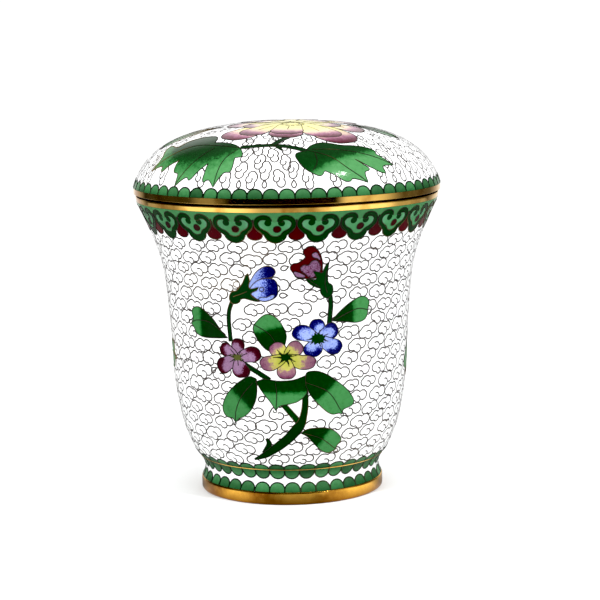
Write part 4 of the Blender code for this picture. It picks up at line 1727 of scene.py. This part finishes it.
def front_spray(surface: TurnedSurface) -> Ornament:
    """The spray on the vessel's front: a branch with two buds, three flowers and seven leaves."""
    stems = (
        (((-18.4, 56.6), (-19.4, 54), (-19.7, 51), (-19.2, 44)), (1.2, 1.3)),
        (((13.0, 58.4), (13.2, 55.5), (12.9, 52.5), (12.6, 49.5)), (1.4, 1.4)),
        CROSS_STEM,
        (((-2.3, 24), (0.5, 20.5), (2, 18.5), (2.8, 17)), (1.6, 1.9)),
        (((-7.9, 12.4), (-7.1, 10.8), (-7.6, 8.8), (-8.4, 7.0)), (0.7, 1.5, 2.0, 2.2)),
        MAIN_STEM,
    )
    spray = Ornament("front_spray", surface)
    return draw_spray(spray, stems, FRONT_LEAVES, (blue_bud, maroon_bud), FRONT_FLOWERS)


def back_spray(surface: TurnedSurface) -> Ornament:
    """A plainer spray on the hidden side, in keeping with the front one and turned the other way."""
    stems = (
        (((-19.2, 50), (-19.4, 46), (-17.5, 38)), (1.35, 1.35)),
        (((12.8, 58), (13.3, 55), (12.9, 52), (12.3, 49.5)), (1.4, 1.4)),
        CROSS_STEM,
        MAIN_STEM,
        (((-24, 37), (-32, 38.4), (-44, 34.6), (-56.3, 31.4)), (1.3, 1.1)),
        (((15, 29), (26, 35.5), (40, 39.8), (55.8, 38.2)), (1.3, 1.1)),
    )
    leaves = (*FRONT_LEAVES, FRONT_LEAVES[0].moved(-35.5, -13.5), FRONT_LEAVES[5].moved(50.1, 8.0))
    spray = Ornament("back_spray", surface, bearing=math.pi, mirror=True)
    return draw_spray(spray, stems, leaves, (maroon_bud,), FRONT_FLOWERS[:2])


def blue_bud(spray: Ornament) -> None:
    """The blue bud at the upper left, of two petals in a green calyx with three tips."""
    upper = smooth([(-12.8, 62.0), (-11.6, 64.4), (-10.5, 66.2), (-9.2, 67.5), (-7.7, 68.4), (-6.1, 68.7),
                    (-4.9, 68.2), (-4.1, 67.2), (-4.1, 66.2), (-4.9, 65.2), (-6.2, 64.7), (-9.2, 64.1),
                    (-12.1, 61.2)])
    lower = smooth([(-12.1, 61.3), (-10.8, 63.0), (-9.2, 64.1), (-7.3, 64.6), (-5.7, 64.6), (-4.3, 64.0),
                    (-3.6, 62.9), (-3.4, 60.8), (-3.5, 59.4), (-4.3, 58.3), (-5.9, 57.5), (-7.6, 57.1),
                    (-9.3, 57.5), (-10.9, 58.5), (-12.2, 59.8)])
    spray.cell(BLUE, upper, lambda x, y: smoothstep(-10.6, -5.8, x), spacing=0.75)
    spray.cell(BLUE, lower, lambda x, y: smoothstep(-10.2, -4.2, x + 0.1 * (62 - y)), spacing=0.75)
    spray.cell(BLUE, smooth([(-9.6, 57.9), (-8.4, 58.5), (-6.8, 58.5), (-5.5, 59.2), (-4.4, 59.2),
                             (-4.9, 58.1), (-6.8, 57.3), (-8.4, 57.2)]), lambda x, y: 0.1, spacing=0.75)
    spray.wire(*disc((-8.4, 61.0), 0.75, 8), closed=True)
    calyx = smooth([(-12.8, 66.2, 1), (-13.5, 65.4), (-14.0, 64.3), (-14.7, 62.8), (-15.8, 61.3),
                    (-16.7, 60.4), (-18.2, 60.0), (-19.1, 58.9), (-19.2, 57.4), (-18.5, 56.3),
                    (-17.1, 56.1), (-15.7, 56.8), (-15.4, 57.6), (-14.0, 57.9), (-12.2, 57.5),
                    (-10.3, 57.1), (-9.0, 57.1, 1), (-10.9, 58.2),
                    (-11.9, 59.1), (-11.4, 60.0), (-10.1, 60.6), (-9.4, 61.7, 1), (-10.8, 61.3),
                    (-12.1, 61.1), (-12.6, 62.0), (-12.3, 63.3), (-12.4, 64.8)])
    spray.cell(DEEP_GREEN, calyx)
    spray.wire((-17.9, 58.4), (-15.6, 59.2), (-13.2, 60.2))
    spray.wire((-16.2, 61.4), (-17.3, 61.7), (-17.8, 62.5), (-17.0, 63.3), (-15.8, 63.1))


def maroon_bud(spray: Ornament) -> None:
    """The maroon bud at the upper right, in a green calyx with three tips."""
    outer = smooth([(4.6, 73.6), (5.2, 74.4), (6.5, 75.2), (7.9, 75.0), (9.1, 74.0), (9.9, 72.7),
                    (10.4, 71.0), (10.7, 69.3), (10.6, 67.6), (10.5, 65.9), (8.7, 64.4), (5.4, 64.3),
                    (3.6, 64.4), (2.3, 64.8), (1.4, 66.3), (0.6, 67.6), (0.7, 68.6), (1.6, 69.4),
                    (3.0, 69.6), (3.9, 70.2), (4.7, 70.8), (5.3, 71.6), (4.8, 72.5)][::-1])
    spray.cell(MAROON, outer)
    spray.cell(MAUVE, smooth([(3.7, 67.9), (4.7, 68.9), (6.2, 68.8), (7.2, 70.0), (8.6, 70.4), (9.8, 69.1),
                              (10.1, 67.4), (9.6, 66.2), (7.7, 64.6), (6.5, 64.6), (5.2, 65.8),
                              (3.9, 66.9)][::-1]),
               lambda x, y: 0.3, spacing=0.75)
    spray.cell(MAUVE, smooth([(7.3, 72.4), (8.7, 73.1), (9.4, 72.1), (10.0, 70.3), (9.0, 70.9),
                              (7.8, 71.3)][::-1]), lambda x, y: 0.1)
    spray.cell(MAUVE, smooth([(1.6, 66.7), (2.9, 66.5), (4.4, 65.8), (5.2, 64.9), (3.8, 64.7),
                              (2.3, 65.1)][::-1]), lambda x, y: 0.1)
    calyx = smooth([(12.8, 69.6, 1), (11.7, 68.4), (11.0, 66.9), (10.6, 66.0), (9.7, 66.2), (7.7, 66.7, 1),
                    (8.4, 65.1), (8.6, 64.0), (6.9, 64.0), (5.4, 64.3, 1), (5.8, 63.3), (7.3, 62.0),
                    (9.0, 61.2), (9.9, 60.9), (9.9, 59.6), (10.8, 58.3), (12.2, 57.7), (13.6, 58.8),
                    (14.0, 60.4), (13.7, 61.8), (12.5, 62.7), (12.3, 64.2), (12.3, 66.2),
                    (12.5, 67.9)][::-1])
    spray.cell(DEEP_GREEN, calyx)
    spray.wire((12.1, 59.4), (11.4, 62.2), (12.0, 66.8))
    spray.wire((9.6, 61.4), (7.6, 62.8), (6.2, 64.0))


def teardrop(tip: Point, end: Point, width: float) -> list[Point]:
    """A small wire loop, pointed at its tip and round at its end."""
    axis = Vector(end) - Vector(tip)
    side = Vector((-axis.y, axis.x)).normalized() * (width / 2)
    middle = Vector(tip) + axis * 0.62
    return [(*tip, 1), tuple(middle + side), tuple(end), tuple(middle - side)]


CROSS_STEM = (((-14.5, 36.8), (-10, 34.2), (-6.5, 32)), (1.4, 1.4))
MAIN_STEM = (((4.6, 29), (4.4, 23), (3.3, 18), (2, 16), (-1, 12.5), (-5, 9), (-8.5, 6.3), (-12, 4.4)),
             (1.7, 1.8, 2.1, 3.3, 3.0, 2.9, 2.3, 0.5))

FRONT_LEAVES = (
    Leaf(((-20.3, 45, 1), (-22.5, 47), (-26, 51), (-29.5, 53.3), (-32, 54.1), (-34.5, 53.4), (-35.2, 52),
          (-34.6, 50.3), (-35.7, 48.5, 1), (-34.3, 47), (-33.2, 45.4), (-30, 44.5), (-25, 44.6)),
         (((-21, 46), (-27, 49.5), (-33, 49.7), (-35.5, 48.7)),), ((-31, 40), (-31, 60))),
    Leaf(((-2.5, 40.5, 1), (-1, 46), (-2.5, 50), (-4.5, 52.3), (-6.8, 53.1), (-9, 52), (-11.2, 49.6, 1),
          (-11.5, 48.2), (-10.8, 46.2), (-9.5, 44), (-7, 41.5)),
         (((-4, 43), (-6.2, 46.6), (-10.9, 49.6)),), ((-11, 47), (-1.5, 49.2))),
    Leaf(((13.5, 50.3, 1), (15, 52), (18, 54.5), (21, 56.3), (24, 57.3), (26, 56.8), (27.2, 55.2),
          (26.9, 54), (26.6, 52.5, 1), (26.3, 51), (25.0, 49.6), (22, 49.1), (18, 49.7)),
         (((14.5, 50.6), (19, 52.5), (23, 53.5), (26.6, 52.7)),), ((21, 60), (21, 40))),
    Leaf(((-10.8, 32.3, 1), (-13, 33), (-15.5, 31.8), (-18.5, 29.5), (-21, 26.8), (-22.5, 24), (-22.9, 22),
          (-22.3, 20), (-21, 19), (-19.3, 18.8), (-18.2, 17.4, 1), (-17, 18.8), (-15, 19.8), (-12.8, 22),
          (-11.3, 25), (-10.7, 28), (-10.7, 30.5)),
         (((-12, 31), (-15.8, 26.5), (-18, 21.5), (-18.3, 17.8)),), ((-13, 22.5), (-20, 29))),
    Leaf(((-11, 31.4, 1), (-8, 32.3), (-5, 31.8), (-2, 31.7), (1, 32), (5.2, 33.4, 1), (5.6, 29.6),
          (4.6, 27), (2.2, 25), (-0.5, 24.2), (-3.5, 23.5), (-4.8, 22.1, 1), (-6.5, 25), (-8.5, 27.5)),
         (((-4.7, 31.2), (-4.4, 27), (-4.7, 22.6)),), ((0, 28), (-10, 28))),
    Leaf(((4.8, 30, 1), (5, 34), (7, 34.6), (9, 34.4), (12, 33), (15, 30.8), (18, 28.3), (20, 25.8),
          (20.9, 23.8), (20.2, 22.4), (18.5, 21.8), (17, 21.2), (16.6, 19.8, 1), (15.5, 20.2), (13.5, 20),
          (11.5, 21), (9, 23.5), (6.5, 26.5)),
         (((5, 31), (12, 27.5), (16.5, 20.5)),), ((14, 30), (8, 25))),
    Leaf(((3, 14.3, 1), (5, 15.5), (8, 15.8), (11, 15.6), (13.5, 14.6), (15.3, 13), (16.2, 11.5),
          (16, 10.3), (14.8, 9), (14.2, 7.5, 1), (12, 6.4), (10.5, 6.8), (9, 8), (7, 10.5), (5, 13)),
         (((4, 14.2), (9.5, 12), (14.2, 7.8)),), ((12, 14.5), (8.5, 9.8))),
)

FRONT_FLOWERS = (
    Flower((8.9, 44.9), (((8.7, 48.7), (2.5, 2.6)), ((13.2, 47.2), (2.4, 2.6)), ((14.0, 42.0), (2.9, 2.5)),
                         ((7.2, 41.5), (3.0, 2.4)), ((3.9, 47.0), (3.2, 2.5))), BLUE,
           (0.35, 0.1, -0.25, 0.3, -0.1), eye=(2.0, 3.3), spikes=11),
    Flower((-17.0, 38.8), (((-16.7, 42.9), (2.2, 2.2)), ((-21.1, 41.2), (2.2, 2.2)),
                           ((-12.0, 40.1), (3.0, 2.5)), ((-22.0, 36.0), (2.6, 2.6)),
                           ((-15.8, 34.6), (3.0, 2.2))), MAUVE,
           (-0.3, 0.2, 0.35, -0.3, 0.35), eye=(1.1, 3.6), spikes=11, eye_finish=EYE_OLIVE),
    Flower((-1.4, 39.2), (((-3.8, 41.8), (2.7, 2.4)), ((1.7, 42.1), (2.5, 2.4)), ((4.5, 37.5), (3.8, 2.3)),
                          ((-1.2, 34.6), (3.0, 2.4)), ((-6.5, 37.3), (3.1, 2.4))), YELLOW,
           eye=(1.4, 3.6), spikes=7),
)


@dataclass
class LidDome:
    """The domed enamelled lid: shell, scallops above the rim, clouds, and a peony with four leaves."""

    lean: float = 0.075
    rise: float = 0.595
    crown: float = 0.70
    wall: float = 0.0020
    run_on: float = 0.011
    outline_steps: int = 60
    scallops: int = 64
    scallop_height: float = 3.0
    cloud_length: float = 6.6
    cloud_width: float = 5.2
    ring_pitch: float = 6.5
    sideways: float = 0.08
    outwards: float = 0.4
    cloud_lean: float = 8
    sizes: tuple[float, float] = (0.92, 1.08)
    cloud_pitch: float = 4.25
    outer_ring: float = 51.6
    drop_ring: float = 53.4
    seed: int = 41

    def build(self, workshop: Workshop) -> None:
        """Builds the shell and everything that lies on it."""
        base, top, radius = span("lid")
        height = top - base
        outline = bezier([(radius, base), (radius * (1 - self.lean), base + height * self.rise),
                          (radius * self.crown, top), (0.0, top)], self.outline_steps, start=-self.run_on)
        inner = [point for point in shifted(outline, -self.wall)[1:-1] if point[1] > base]
        section = outline + [(0.0, top - self.wall)] + inner[::-1] + [(inner[0][0], outline[0][1])]
        piece = workshop.turn("lid_shell", section, WHITE, "lid")
        line_inside(piece, workshop.material(LINING), 0.0)
        surface = TurnedSurface("lid", outline)
        band = Band("lid_scallops", surface, self.scallops, 0.0, stray=0.03, seed=19)
        scallop_row(workshop, band, radius, self.scallop_height)
        peony = peony_spray(surface)
        self.cloud_field(surface, peony).build(workshop)
        peony.build(workshop)
        surface.dismiss()

    def cloud_field(self, surface: TurnedSurface, peony: Ornament) -> CloudField:
        """The lid's clouds, in rings around the crown, with small wire drops between the outermost ones."""
        rng = random.Random(self.seed)
        clouds = CloudField("lid_clouds", surface, plan=True, seed=13, gauge=0.26)
        motifs = peony.outlines()
        rings = int(self.outer_ring // self.ring_pitch)
        for ring in range(rings):
            reach = self.outer_ring - ring * self.ring_pitch
            radius = surface.at(surface.length - reach * MM)[0] / MM
            count = 2 * max(3, round(math.pi * radius / self.cloud_pitch))
            for index in range(count):
                turn = math.tau * (index + rng.uniform(-self.sideways, self.sideways)) / count
                out = reach - index % 2 * self.ring_pitch / 2 + rng.uniform(-self.outwards, self.outwards)
                x, y = out * math.cos(turn), out * math.sin(turn)
                length = self.cloud_length * rng.uniform(*self.sizes)
                width = self.cloud_width * rng.uniform(*self.sizes) * reach / radius
                pick = rng.randrange(clouds.patterns)
                lean = turn + math.radians(rng.gauss(0, self.cloud_lean))
                if any(mostly_inside((x, y), outline, 1.5, 1.5) for outline in motifs):
                    continue
                clouds.add(x, y, 0.0, lean, (length, width), pick)
                if ring == 0 and index % 2:
                    share = self.drop_ring / out
                    clouds.add(x * share, y * share, 0.0, turn, (DROP_SIZE, DROP_SIZE))
        return clouds


# The tips of the lid's two small leaves, to the left and right of the peony
LID_SIDE_TIPS = ((-1, (-42.0, -6.5)), (1, (37.0, -8.5)))


def peony_spray(surface: TurnedSurface) -> Ornament:
    """The peony across the lid's crown, with stems, two broad leaves in front and two small ones beside."""
    spray = Ornament("peony", surface, plan=True)
    stems = (
        (((-14.3, -35.6), (-9, -36.2), (-4, -36.7), (0, -37.7), (5, -39.5), (7.5, -40.6)), (1.6, 1.6, 1.8)),
        (((-4, -36.3), (-1.5, -33.3), (0.5, -31.0), (1.2, -28.0)), (1.6, 1.8)),
        (((-3.2, -37.0), (-1.3, -39.8)), (1.2, 0.6)),
    )
    for line, widths in stems:
        spray.cell(LID_STEM, ribbon(line, widths))
    left = smooth([(-14.3, -36, 1), (-14, -40.4), (-16.3, -40.5, 1), (-18.3, -45.7), (-20.5, -45.3),
                   (-25.2, -48.5, 1), (-26.3, -45.2), (-28.3, -44.9), (-27, -42), (-25.2, -38.8, 1),
                   (-29, -40), (-33, -41.1), (-33.6, -39.4), (-39, -38.8, 1), (-36.5, -35.5),
                   (-37.6, -33.3), (-36.5, -31), (-35, -29.5, 1),
                   (-38.5, -28.5), (-42.2, -27.8), (-41.5, -25.5), (-46, -21.7, 1), (-41.5, -20.3),
                   (-38, -14), (-35, -19), (-31, -18), (-25, -19.5), (-22, -22), (-21.7, -25),
                   (-22.5, -27.5, 1), (-19.5, -29.5), (-16, -33)])
    spray.cell(LID_LEAF, left, away((-22.0, -22.0), 11.5, 21.0))
    for vein in (((-14.6, -35.6), (-21, -31), (-30, -24.5), (-45, -21.9)),
                 ((-22.5, -31.5), (-30, -35), (-38.2, -38.4)),
                 ((-15.0, -36.2), (-20, -40), (-24.8, -47.8))):
        spray.wire(*vein)
    right = smooth([(6.3, -40, 1), (3, -42), (4, -45.5), (6, -48), (9, -49.5), (11.3, -49.8),
                    (12.5, -47.8, 1), (16, -48.5), (19.5, -49.5), (21.5, -48.8), (22, -47.7),
                    (27.7, -46.5, 1), (26, -43.5), (27.3, -41.5), (25, -40.7), (22, -39.8, 1), (28, -40.5),
                    (33, -39.5), (31.8, -37.5), (33.5, -35.5), (35.5, -33.8, 1), (31, -33.5), (28.8, -33),
                    (28.5, -31.8), (26, -31.3), (22, -32.3), (17, -34), (12, -34), (9, -35.5), (7, -38)])
    spray.cell(LID_LEAF, right, beyond((25.0, -34.3), (8.3, -48.8), 3.0))
    for vein in (((6.8, -39.8), (14, -41.5), (20, -44.5), (27.2, -46.4)),
                 ((8, -39), (18, -36.8), (35, -33.9)), ((9, -40.8), (9.8, -45), (8.5, -48.6))):
        spray.wire(*vein)
    for side, tip in LID_SIDE_TIPS:
        base = (side * 20.0, -6.0)
        middle = ((base[0] + tip[0]) / 2, (base[1] + tip[1]) / 2)
        leaf = smooth([(*base, 1), (middle[0], middle[1] - 3.8), (tip[0] - side * 3, tip[1] - 2.6),
                       (*tip, 1), (tip[0] - side * 3, tip[1] + 3.0), (middle[0], middle[1] + 4.2)][::side])
        spray.cell(LID_LEAF, leaf, away(base, 4.0, 20.0))
        spray.wire(base, middle, tip)
    peony_flower(spray)
    return spray


def peony_flower(spray: Ornament) -> None:
    """The peony itself: outer petals, inner petals, and a bud ringed by small wire loops."""
    middle = (2.0, -9.0)
    outer = (((-13.5, -8.0), (5.5, 5.2)), ((-9.0, 5.0), (5.6, 5.2)), ((5.0, 9.0), (5.6, 4.6)),
             ((17.5, 2.0), (5.6, 5.2)), ((20.5, -14.5), (4.8, 4.9)), ((-14.0, -23.5), (6.4, 6.0)),
             ((0.0, -26.6), (5.4, 4.8)), ((15.4, -26.4), (7.2, 6.6)))
    inner = (((-5.5, -1.5), (4.4, 4.0)), ((9.5, -0.5), (4.6, 4.0)), ((13.5, -11.5), (4.2, 4.2)),
             ((-9.2, -13.0), (4.4, 4.4)), ((-9.8, -22.6), (4.8, 4.6)), ((11.4, -24.6), (6.2, 5.0)),
             ((0.4, -23.6), (5.2, 4.4)))
    for lobe, radii in outer + inner:
        outline = petal(middle, lobe, radii, notch=0.05)
        reach = max(math.dist(point, middle) for point in outline)
        spray.cell(PEONY, outline, away(middle, reach * 0.15, reach))
        axis = (Vector(lobe) - Vector(middle)) * 0.9 + Vector(middle)
        spray.wire(((lobe[0] + middle[0]) / 2, (lobe[1] + middle[1]) / 2), tuple(axis))
    bud = (2.2, -12.5)
    spray.cell(PEONY, disc(bud, 2.2, 16), away(bud, 0.0, 9.0))
    for spot in disc(bud, 3.5, 12):
        spray.wire(*disc(spot, 0.5, 7), closed=True)


@dataclass
class Rims:
    """The gilt rings where the lid meets the vessel."""

    mouth_fillet: float = 0.0004
    lower_fillet: float = 0.00015
    inner_fillet: float = 0.0002
    collar_fillet: float = 0.0003
    edge_fillets: tuple[float, float] = (0.00006, 0.0001)
    collar_outer: float = 0.04492
    collar_inner: float = 0.04372
    clearance: float = 0.0004
    flange: float = 0.0012
    lip_radius: float = 0.0468
    seam: float = 0.00027
    rebate_height: float = 0.00045
    rebate_depth: float = 0.0009
    lid_drop: float = 0.00015

    def build(self, workshop: Workshop) -> None:
        """Builds the mouth rim, and the lid rim with its collar and the rebate under its lower edge."""
        base, top, outer = span("mouth_rim")
        inner = self.collar_outer + self.clearance
        lower = span("jar_body")[2]
        mouth = rounded([(inner, base - self.seam, self.inner_fillet),
                         (lower, base - self.seam, self.lower_fillet),
                         (outer, top, self.mouth_fillet), (inner, top, self.mouth_fillet)])
        workshop.turn("mouth_ring", mouth, RIM_GILT, "mouth_rim")
        low, high, reach = span("lid_rim")
        seat = top + (span("lid")[0] - high)
        line = seat + self.rebate_height
        edge = high - self.lid_drop
        section = rounded([
            (self.collar_inner, low, 0), (self.collar_outer, low, self.collar_fillet),
            (self.collar_outer, seat, 0), (reach - self.rebate_depth, seat, 0),
            (reach - self.rebate_depth, line, 0), (reach, line, self.edge_fillets[0]),
            (reach, edge, self.edge_fillets[1]), (self.lip_radius, edge, 0),
            (self.lip_radius, seat + self.flange, 0), (self.collar_inner, seat + self.flange, 0)])
        ring = workshop.turn("lid_ring", section, RIM_GILT, "lid_rim")
        # The rebate's faces below the line take the near-black painted shadow of the gap under the lid ring.
        ring.data.materials.append(workshop.material(SEAT_SHADE))
        for face in ring.data.polygons:
            if face.center.z < line + NEARLY_NOTHING and Vector(face.center[:2]).length > inner:
                face.material_index = 1


@dataclass
class Studio:
    """The photograph's camera, a pale round table, a white surround and three lamps."""

    focal_pixels: float = 2004.8
    frame_pixels: float = 600.0
    sensor: float = 36.0
    distance: float = 0.65348
    eye_height: float = 0.15954
    pitch: float = 8.508
    yaw: float = 0.319
    roll: float = -1.0225
    table_radius: float = 0.45
    soft_light: float = 0.95
    room_light: float = 1.0
    dark_corner: float = 0.004
    black_level: float = 0.006
    backdrop_light: float = 1.05
    aim_height: float = 0.06
    table_white: float = 0.97
    table_dimming: float = 0.62
    table_roughness: float = 0.6
    table_segments: int = 96

    def build(self) -> None:
        """Sets up the view, the table and the light."""
        view = bpy.context.scene.view_settings
        view.view_transform = "Standard"
        view.use_curve_mapping = True
        view.curve_mapping.black_level = (self.black_level,) * 3
        self.camera()
        self.table()
        self.surround()
        self.lamp("left_lamp", (-0.60, -0.80, 0.90), 0.14, 9.0)
        self.lamp("right_lamp", (0.55, -0.60, 0.85), 0.14, 6.0)
        self.lamp("spark_lamp", (0.52, -0.31, 0.94), 0.05, 1.2, mirrored_too=True)

    def camera(self) -> None:
        """The camera at the photograph's place, leaning as it does."""
        pitch, yaw, roll = (math.radians(angle) for angle in (self.pitch, self.yaw, self.roll))
        ahead = Vector((math.sin(yaw) * math.cos(pitch), math.cos(yaw) * math.cos(pitch), -math.sin(pitch)))
        right = Vector((math.cos(yaw), -math.sin(yaw), 0.0))
        up = right.cross(ahead)
        leaning_right = right * math.cos(roll) + up * math.sin(roll)
        leaning_up = up * math.cos(roll) - right * math.sin(roll)
        data = bpy.data.cameras.new("camera")
        data.sensor_width = self.sensor
        data.lens = self.focal_pixels / self.frame_pixels * self.sensor
        camera = bpy.data.objects.new("camera", data)
        axes = Matrix((leaning_right, leaning_up, -ahead)).transposed().to_4x4()
        camera.matrix_world = Matrix.Translation((0.0, -self.distance, self.eye_height)) @ axes
        bpy.context.scene.collection.objects.link(camera)
        bpy.context.scene.camera = camera

    def table(self) -> None:
        """The pale round table top, which the jar's polish mirrors darker in front of and behind it."""
        material, tree, shader = blank_material("table")
        spot = tree.put("ShaderNodeTexCoord").outputs["Object"]
        way = tree.put("ShaderNodeVectorMath", {0: spot}, operation="NORMALIZE")
        way = tree.put("ShaderNodeSeparateXYZ", {0: way.outputs["Vector"]}).outputs
        aside = tree.ramp(tree.math("ABSOLUTE", way["X"]), (0.25, 0.62), soft=True)
        ahead = tree.ramp(way["Y"], (0.0, -0.3), soft=True)
        dim = tree.math("SUBTRACT", 1.0, tree.math("MULTIPLY", aside, ahead))
        shade = tree.math("MULTIPLY", dim, tree.put("ShaderNodeLightPath").outputs["Is Glossy Ray"])
        pale = tree.math("SUBTRACT", self.table_white, tree.math("MULTIPLY", shade, self.table_dimming))
        tree.link(pale, shader.inputs["Base Color"])
        shader.inputs["Roughness"].default_value = self.table_roughness
        shape = bmesh.new()
        bmesh.ops.create_circle(shape, cap_ends=True, segments=self.table_segments, radius=self.table_radius)
        mesh = bpy.data.meshes.new("table")
        shape.to_mesh(mesh)
        shape.free()
        mesh.materials.append(material)
        place("table", mesh)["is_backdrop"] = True

    def surround(self) -> None:
        """A white backdrop, and a dark room with two windows, a bright back and a pale ceiling."""
        world = bpy.data.worlds.new("surround")
        bpy.context.scene.world = world
        world.use_nodes = True
        tree = Tree(world.node_tree)
        white = (1.0, 1.0, 1.0, 1.0)
        room = world.node_tree.nodes["Background"]
        room.inputs["Color"].default_value = white
        way = tree.put("ShaderNodeTexCoord").outputs["Generated"]
        way = tree.put("ShaderNodeSeparateXYZ", {0: way}).outputs
        east = tree.ramp(way[0], (0.57, 0.72), soft=True)
        south = tree.ramp(way[1], (0.12, -0.38), (0.13, 1.0), soft=True)
        window = tree.math("MULTIPLY", east, south)
        side = tree.ramp(way[0], (-0.66, -0.86), soft=True)
        near = tree.ramp(way[1], (-0.2, -0.42), (0.05, 0.3), soft=True)
        west = tree.math("MULTIPLY", side, near)
        behind = tree.ramp(way[1], (0.62, 0.96), soft=True)
        ceiling = tree.ramp(way[2], (0.4, 0.8), (0.0, 0.18), soft=True)
        light = tree.math("MAXIMUM", tree.math("MAXIMUM", window, west),
                          tree.math("MAXIMUM", behind, ceiling))
        tree.link(tree.math("ADD", self.dark_corner, tree.math("MULTIPLY", light, self.room_light)),
                  room.inputs["Strength"])
        soft = tree.put("ShaderNodeBackground", {"Color": white, "Strength": self.soft_light})
        backdrop = tree.put("ShaderNodeBackground", {"Color": white, "Strength": self.backdrop_light})
        path = tree.put("ShaderNodeLightPath").outputs
        lit = tree.put("ShaderNodeMixShader", {0: path["Is Glossy Ray"], 1: soft, 2: room})
        mixed = tree.put("ShaderNodeMixShader", {0: path["Is Camera Ray"], 1: lit, 2: backdrop})
        tree.link(mixed, world.node_tree.nodes["World Output"].inputs["Surface"])

    def lamp(self, name: str, spot: Point, size: float, power: float, mirrored_too: bool = False) -> None:
        """A square soft lamp aimed at the jar, which its polish mirrors only where that is said."""
        data = bpy.data.lights.new(name, "AREA")
        data.size = size
        data.energy = power
        lamp = bpy.data.objects.new(name, data)
        lamp.visible_glossy = mirrored_too
        aim = Vector((0.0, 0.0, self.aim_height)) - Vector(spot)
        lamp.matrix_world = Matrix.Translation(spot) @ aim.to_track_quat("-Z", "Y").to_matrix().to_4x4()
        bpy.context.scene.collection.objects.link(lamp)


def main() -> None:
    """Builds the jar from the foot up, then the studio."""
    logging.basicConfig(level=logging.INFO, format="%(name)s: %(message)s")
    workshop = Workshop()
    for part in (Foot(), Vessel(), Rims(), LidDome()):
        part.build(workshop)
    Studio().build()
    boxes = {"cad": CAD_BOX, "visual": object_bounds()}
    {name: [list(corner) for corner in box] for name, box in boxes.items()}


if __name__ == "__main__":
    main()
